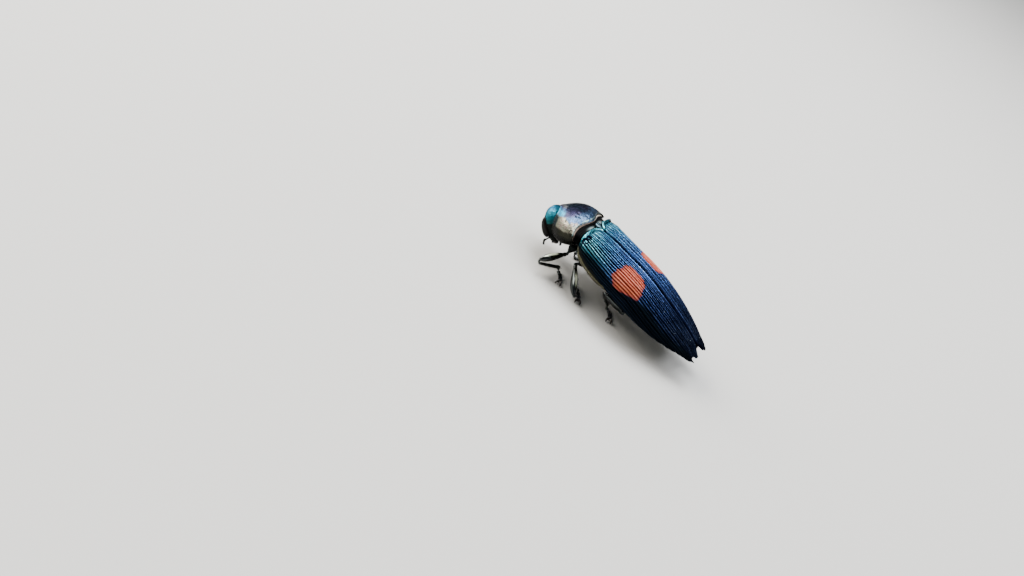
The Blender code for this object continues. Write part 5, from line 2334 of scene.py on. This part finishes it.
@dataclass
class Bristles:
    """Pale hairs under the trunk and dark spines on the shins."""

    trunk: list
    shins: list
    hairs: Coat = Coat(11.0, 0.36, 0.018, -0.38, (0.0, 1.6, 0.3))
    spines: Coat = Coat(7.0, 0.26, 0.03, 2.0, (0.0, 0.0, -0.8))
    patch: float = 0.003

    def scattered(self, name: str, ground: Sequence[Object], finish: Finish, coat: Coat) -> Mesh:
        """Bristles on some pieces.

        Args:
            name: the new mesh's name.
            ground: the pieces that they grow on.
            finish: their finish.
            coat: their sizes.

        Returns:
            Their mesh.
        """
        bm = bmesh.new()
        for one in ground:
            bm.from_mesh(one.data)
        mesh = bpy.data.meshes.new(name + "_ground")
        bm.to_mesh(mesh)
        bm.free()
        values = {
            "Density": coat.density / MM**2, "Length": coat.length * MM, "Thickness": coat.thickness * MM,
            "Highest": coat.highest, "Lie": coat.lie, "Material": finish.material(),
        }
        return BristleTree().run(name, mesh, values)

    def unwrap(self, mesh: Mesh) -> None:
        """Gives each hair a small patch where its root lies on the unrolled trunk.

        Args:
            mesh: the hairs, which carry their roots' places.
        """
        count = len(mesh.vertices)
        place, root = np.empty(count * 3), np.empty(count * 3)
        mesh.vertices.foreach_get("co", place)
        mesh.attributes["root"].data.foreach_get("vector", root)
        place, root = place.reshape(-1, 3), root.reshape(-1, 3)
        low, high = root.min(axis=0), root.max(axis=0)
        round_share = 0.5 + np.arctan2(root[:, 0], high[2] - root[:, 2] + MM) / (2 * math.pi)
        length_share = (root[:, 1] - low[1]) / (high[1] - low[1])
        spot = np.stack([round_share, 0.02 + 0.96 * length_share], axis=1)
        spot += (place - root)[:, :2] / (self.hairs.length * MM) * self.patch / 2
        loops = np.empty(len(mesh.loops), dtype=np.int32)
        mesh.loops.foreach_get("vertex_index", loops)
        mesh.uv_layers.new(name="OFBake").data.foreach_set("uv", spot[loops].ravel())
        mesh.attributes.remove(mesh.attributes["root"])

    def build(self) -> None:
        """Makes the hairs and the spines."""
        hairs = self.scattered("underside_hairs", self.trunk, PALE_HAIR, self.hairs)
        self.unwrap(hairs)
        piece("underside_hairs", hairs, PALE_HAIR, added=True)
        spines = self.scattered("shin_spines", self.shins, HORN, self.spines)
        piece("shin_spines", spines, HORN, added=True)


# Stage


@dataclass
class Stage:
    """Pale floor, soft studio lights and the camera; the floor, the lamps and the clip are in metres."""

    floor_radius: float = 1.5
    floor_corners: int = 96
    camera_place: tuple = (126.677, 15.694, 85.671)
    camera_turn: tuple = (48.037, -26.691, 125.645)
    lens: float = 31.640625
    sensor: float = 36.0
    clip: tuple = (0.005, 10.0)
    world_colour: Colour = (0.8, 0.84, 0.9)
    world_strength: float = 0.25
    lamps: tuple = (
        # name, azimuth, height in degrees, distance, width, height, watts, colour
        ("key_lamp", -90.0, 30.0, 0.55, 0.5, 0.48, 9.5, (1.0, 0.96, 0.88)),
        ("top_lamp", -136.0, 64.0, 0.6, 0.3, 0.3, 5.0, (0.97, 0.98, 1.0)),
        ("front_lamp", -126.0, 4.0, 0.6, 0.24, 0.12, 1.6, (0.97, 0.99, 1.0)),
        ("sky_lamp", 160.0, 68.0, 0.6, 0.18, 0.42, 2.6, (0.97, 0.99, 1.0)),
        ("fill_lamp", 112.0, 48.0, 0.8, 0.4, 0.4, 5.0, (0.95, 0.97, 1.0)),
    )

    def floor(self) -> None:
        """Makes the floor disc."""
        turns = ring_angles(self.floor_corners)[0]
        rim = [(self.floor_radius * math.cos(t), self.floor_radius * math.sin(t), 0.0) for t in turns]
        mesh = bpy.data.meshes.new("floor")
        mesh.from_pydata(rim, [], [list(range(len(rim)))])
        mesh.materials.append(FLOOR.material())
        floor = bpy.data.objects.new("floor", mesh)
        bpy.context.scene.collection.objects.link(floor)

    def lights(self) -> None:
        """Makes the soft lamps and the sky."""
        for name, azimuth, rise, distance, width, height, watts, colour in self.lamps:
            turn, tilt = math.radians(azimuth), math.radians(rise)
            place = Vector((math.cos(turn) * math.cos(tilt), math.sin(turn) * math.cos(tilt), math.sin(tilt)))
            lamp = bpy.data.lights.new(name, "AREA")
            lamp.shape = "ELLIPSE"
            lamp.size = width
            lamp.size_y = height
            lamp.energy = watts
            lamp.color = colour
            made = bpy.data.objects.new(name, lamp)
            made.location = place * distance
            made.rotation_euler = (-place).to_track_quat("-Z", "Y").to_euler()
            bpy.context.scene.collection.objects.link(made)
        world = bpy.data.worlds.new("studio_air")
        world.use_nodes = True
        sky = world.node_tree.nodes["Background"]
        sky.inputs["Color"].default_value = (*self.world_colour, 1.0)
        sky.inputs["Strength"].default_value = self.world_strength
        bpy.context.scene.world = world

    def camera(self) -> None:
        """Makes the camera and points it."""
        lens = bpy.data.cameras.new("camera")
        lens.sensor_width = self.sensor
        lens.lens = self.lens
        lens.clip_start, lens.clip_end = self.clip
        made = bpy.data.objects.new("camera", lens)
        made.location = [value * MM for value in self.camera_place]
        made.rotation_euler = [math.radians(value) for value in self.camera_turn]
        bpy.context.scene.collection.objects.link(made)
        bpy.context.scene.camera = made

    def build(self) -> None:
        """Makes the whole stage."""
        self.floor()
        self.lights()
        self.camera()


def main() -> None:
    """Builds the beetle piece by piece and sets the stage."""
    logging.basicConfig(level=logging.INFO, format="%(name)s %(message)s")
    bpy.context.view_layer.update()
    stance = Stance()
    cases = WingCases(stance)
    cases.build()
    Scutellum(stance).build()
    plates = Trunk(stance, cases).build()
    prothorax = Prothorax(stance)
    prothorax.build()
    Membrane(stance, prothorax).build()
    Head(stance).build()
    shins = Legs(stance).build()
    Bristles(plates, shins).build()
    Stage().build()


if __name__ == "__main__":
    main()
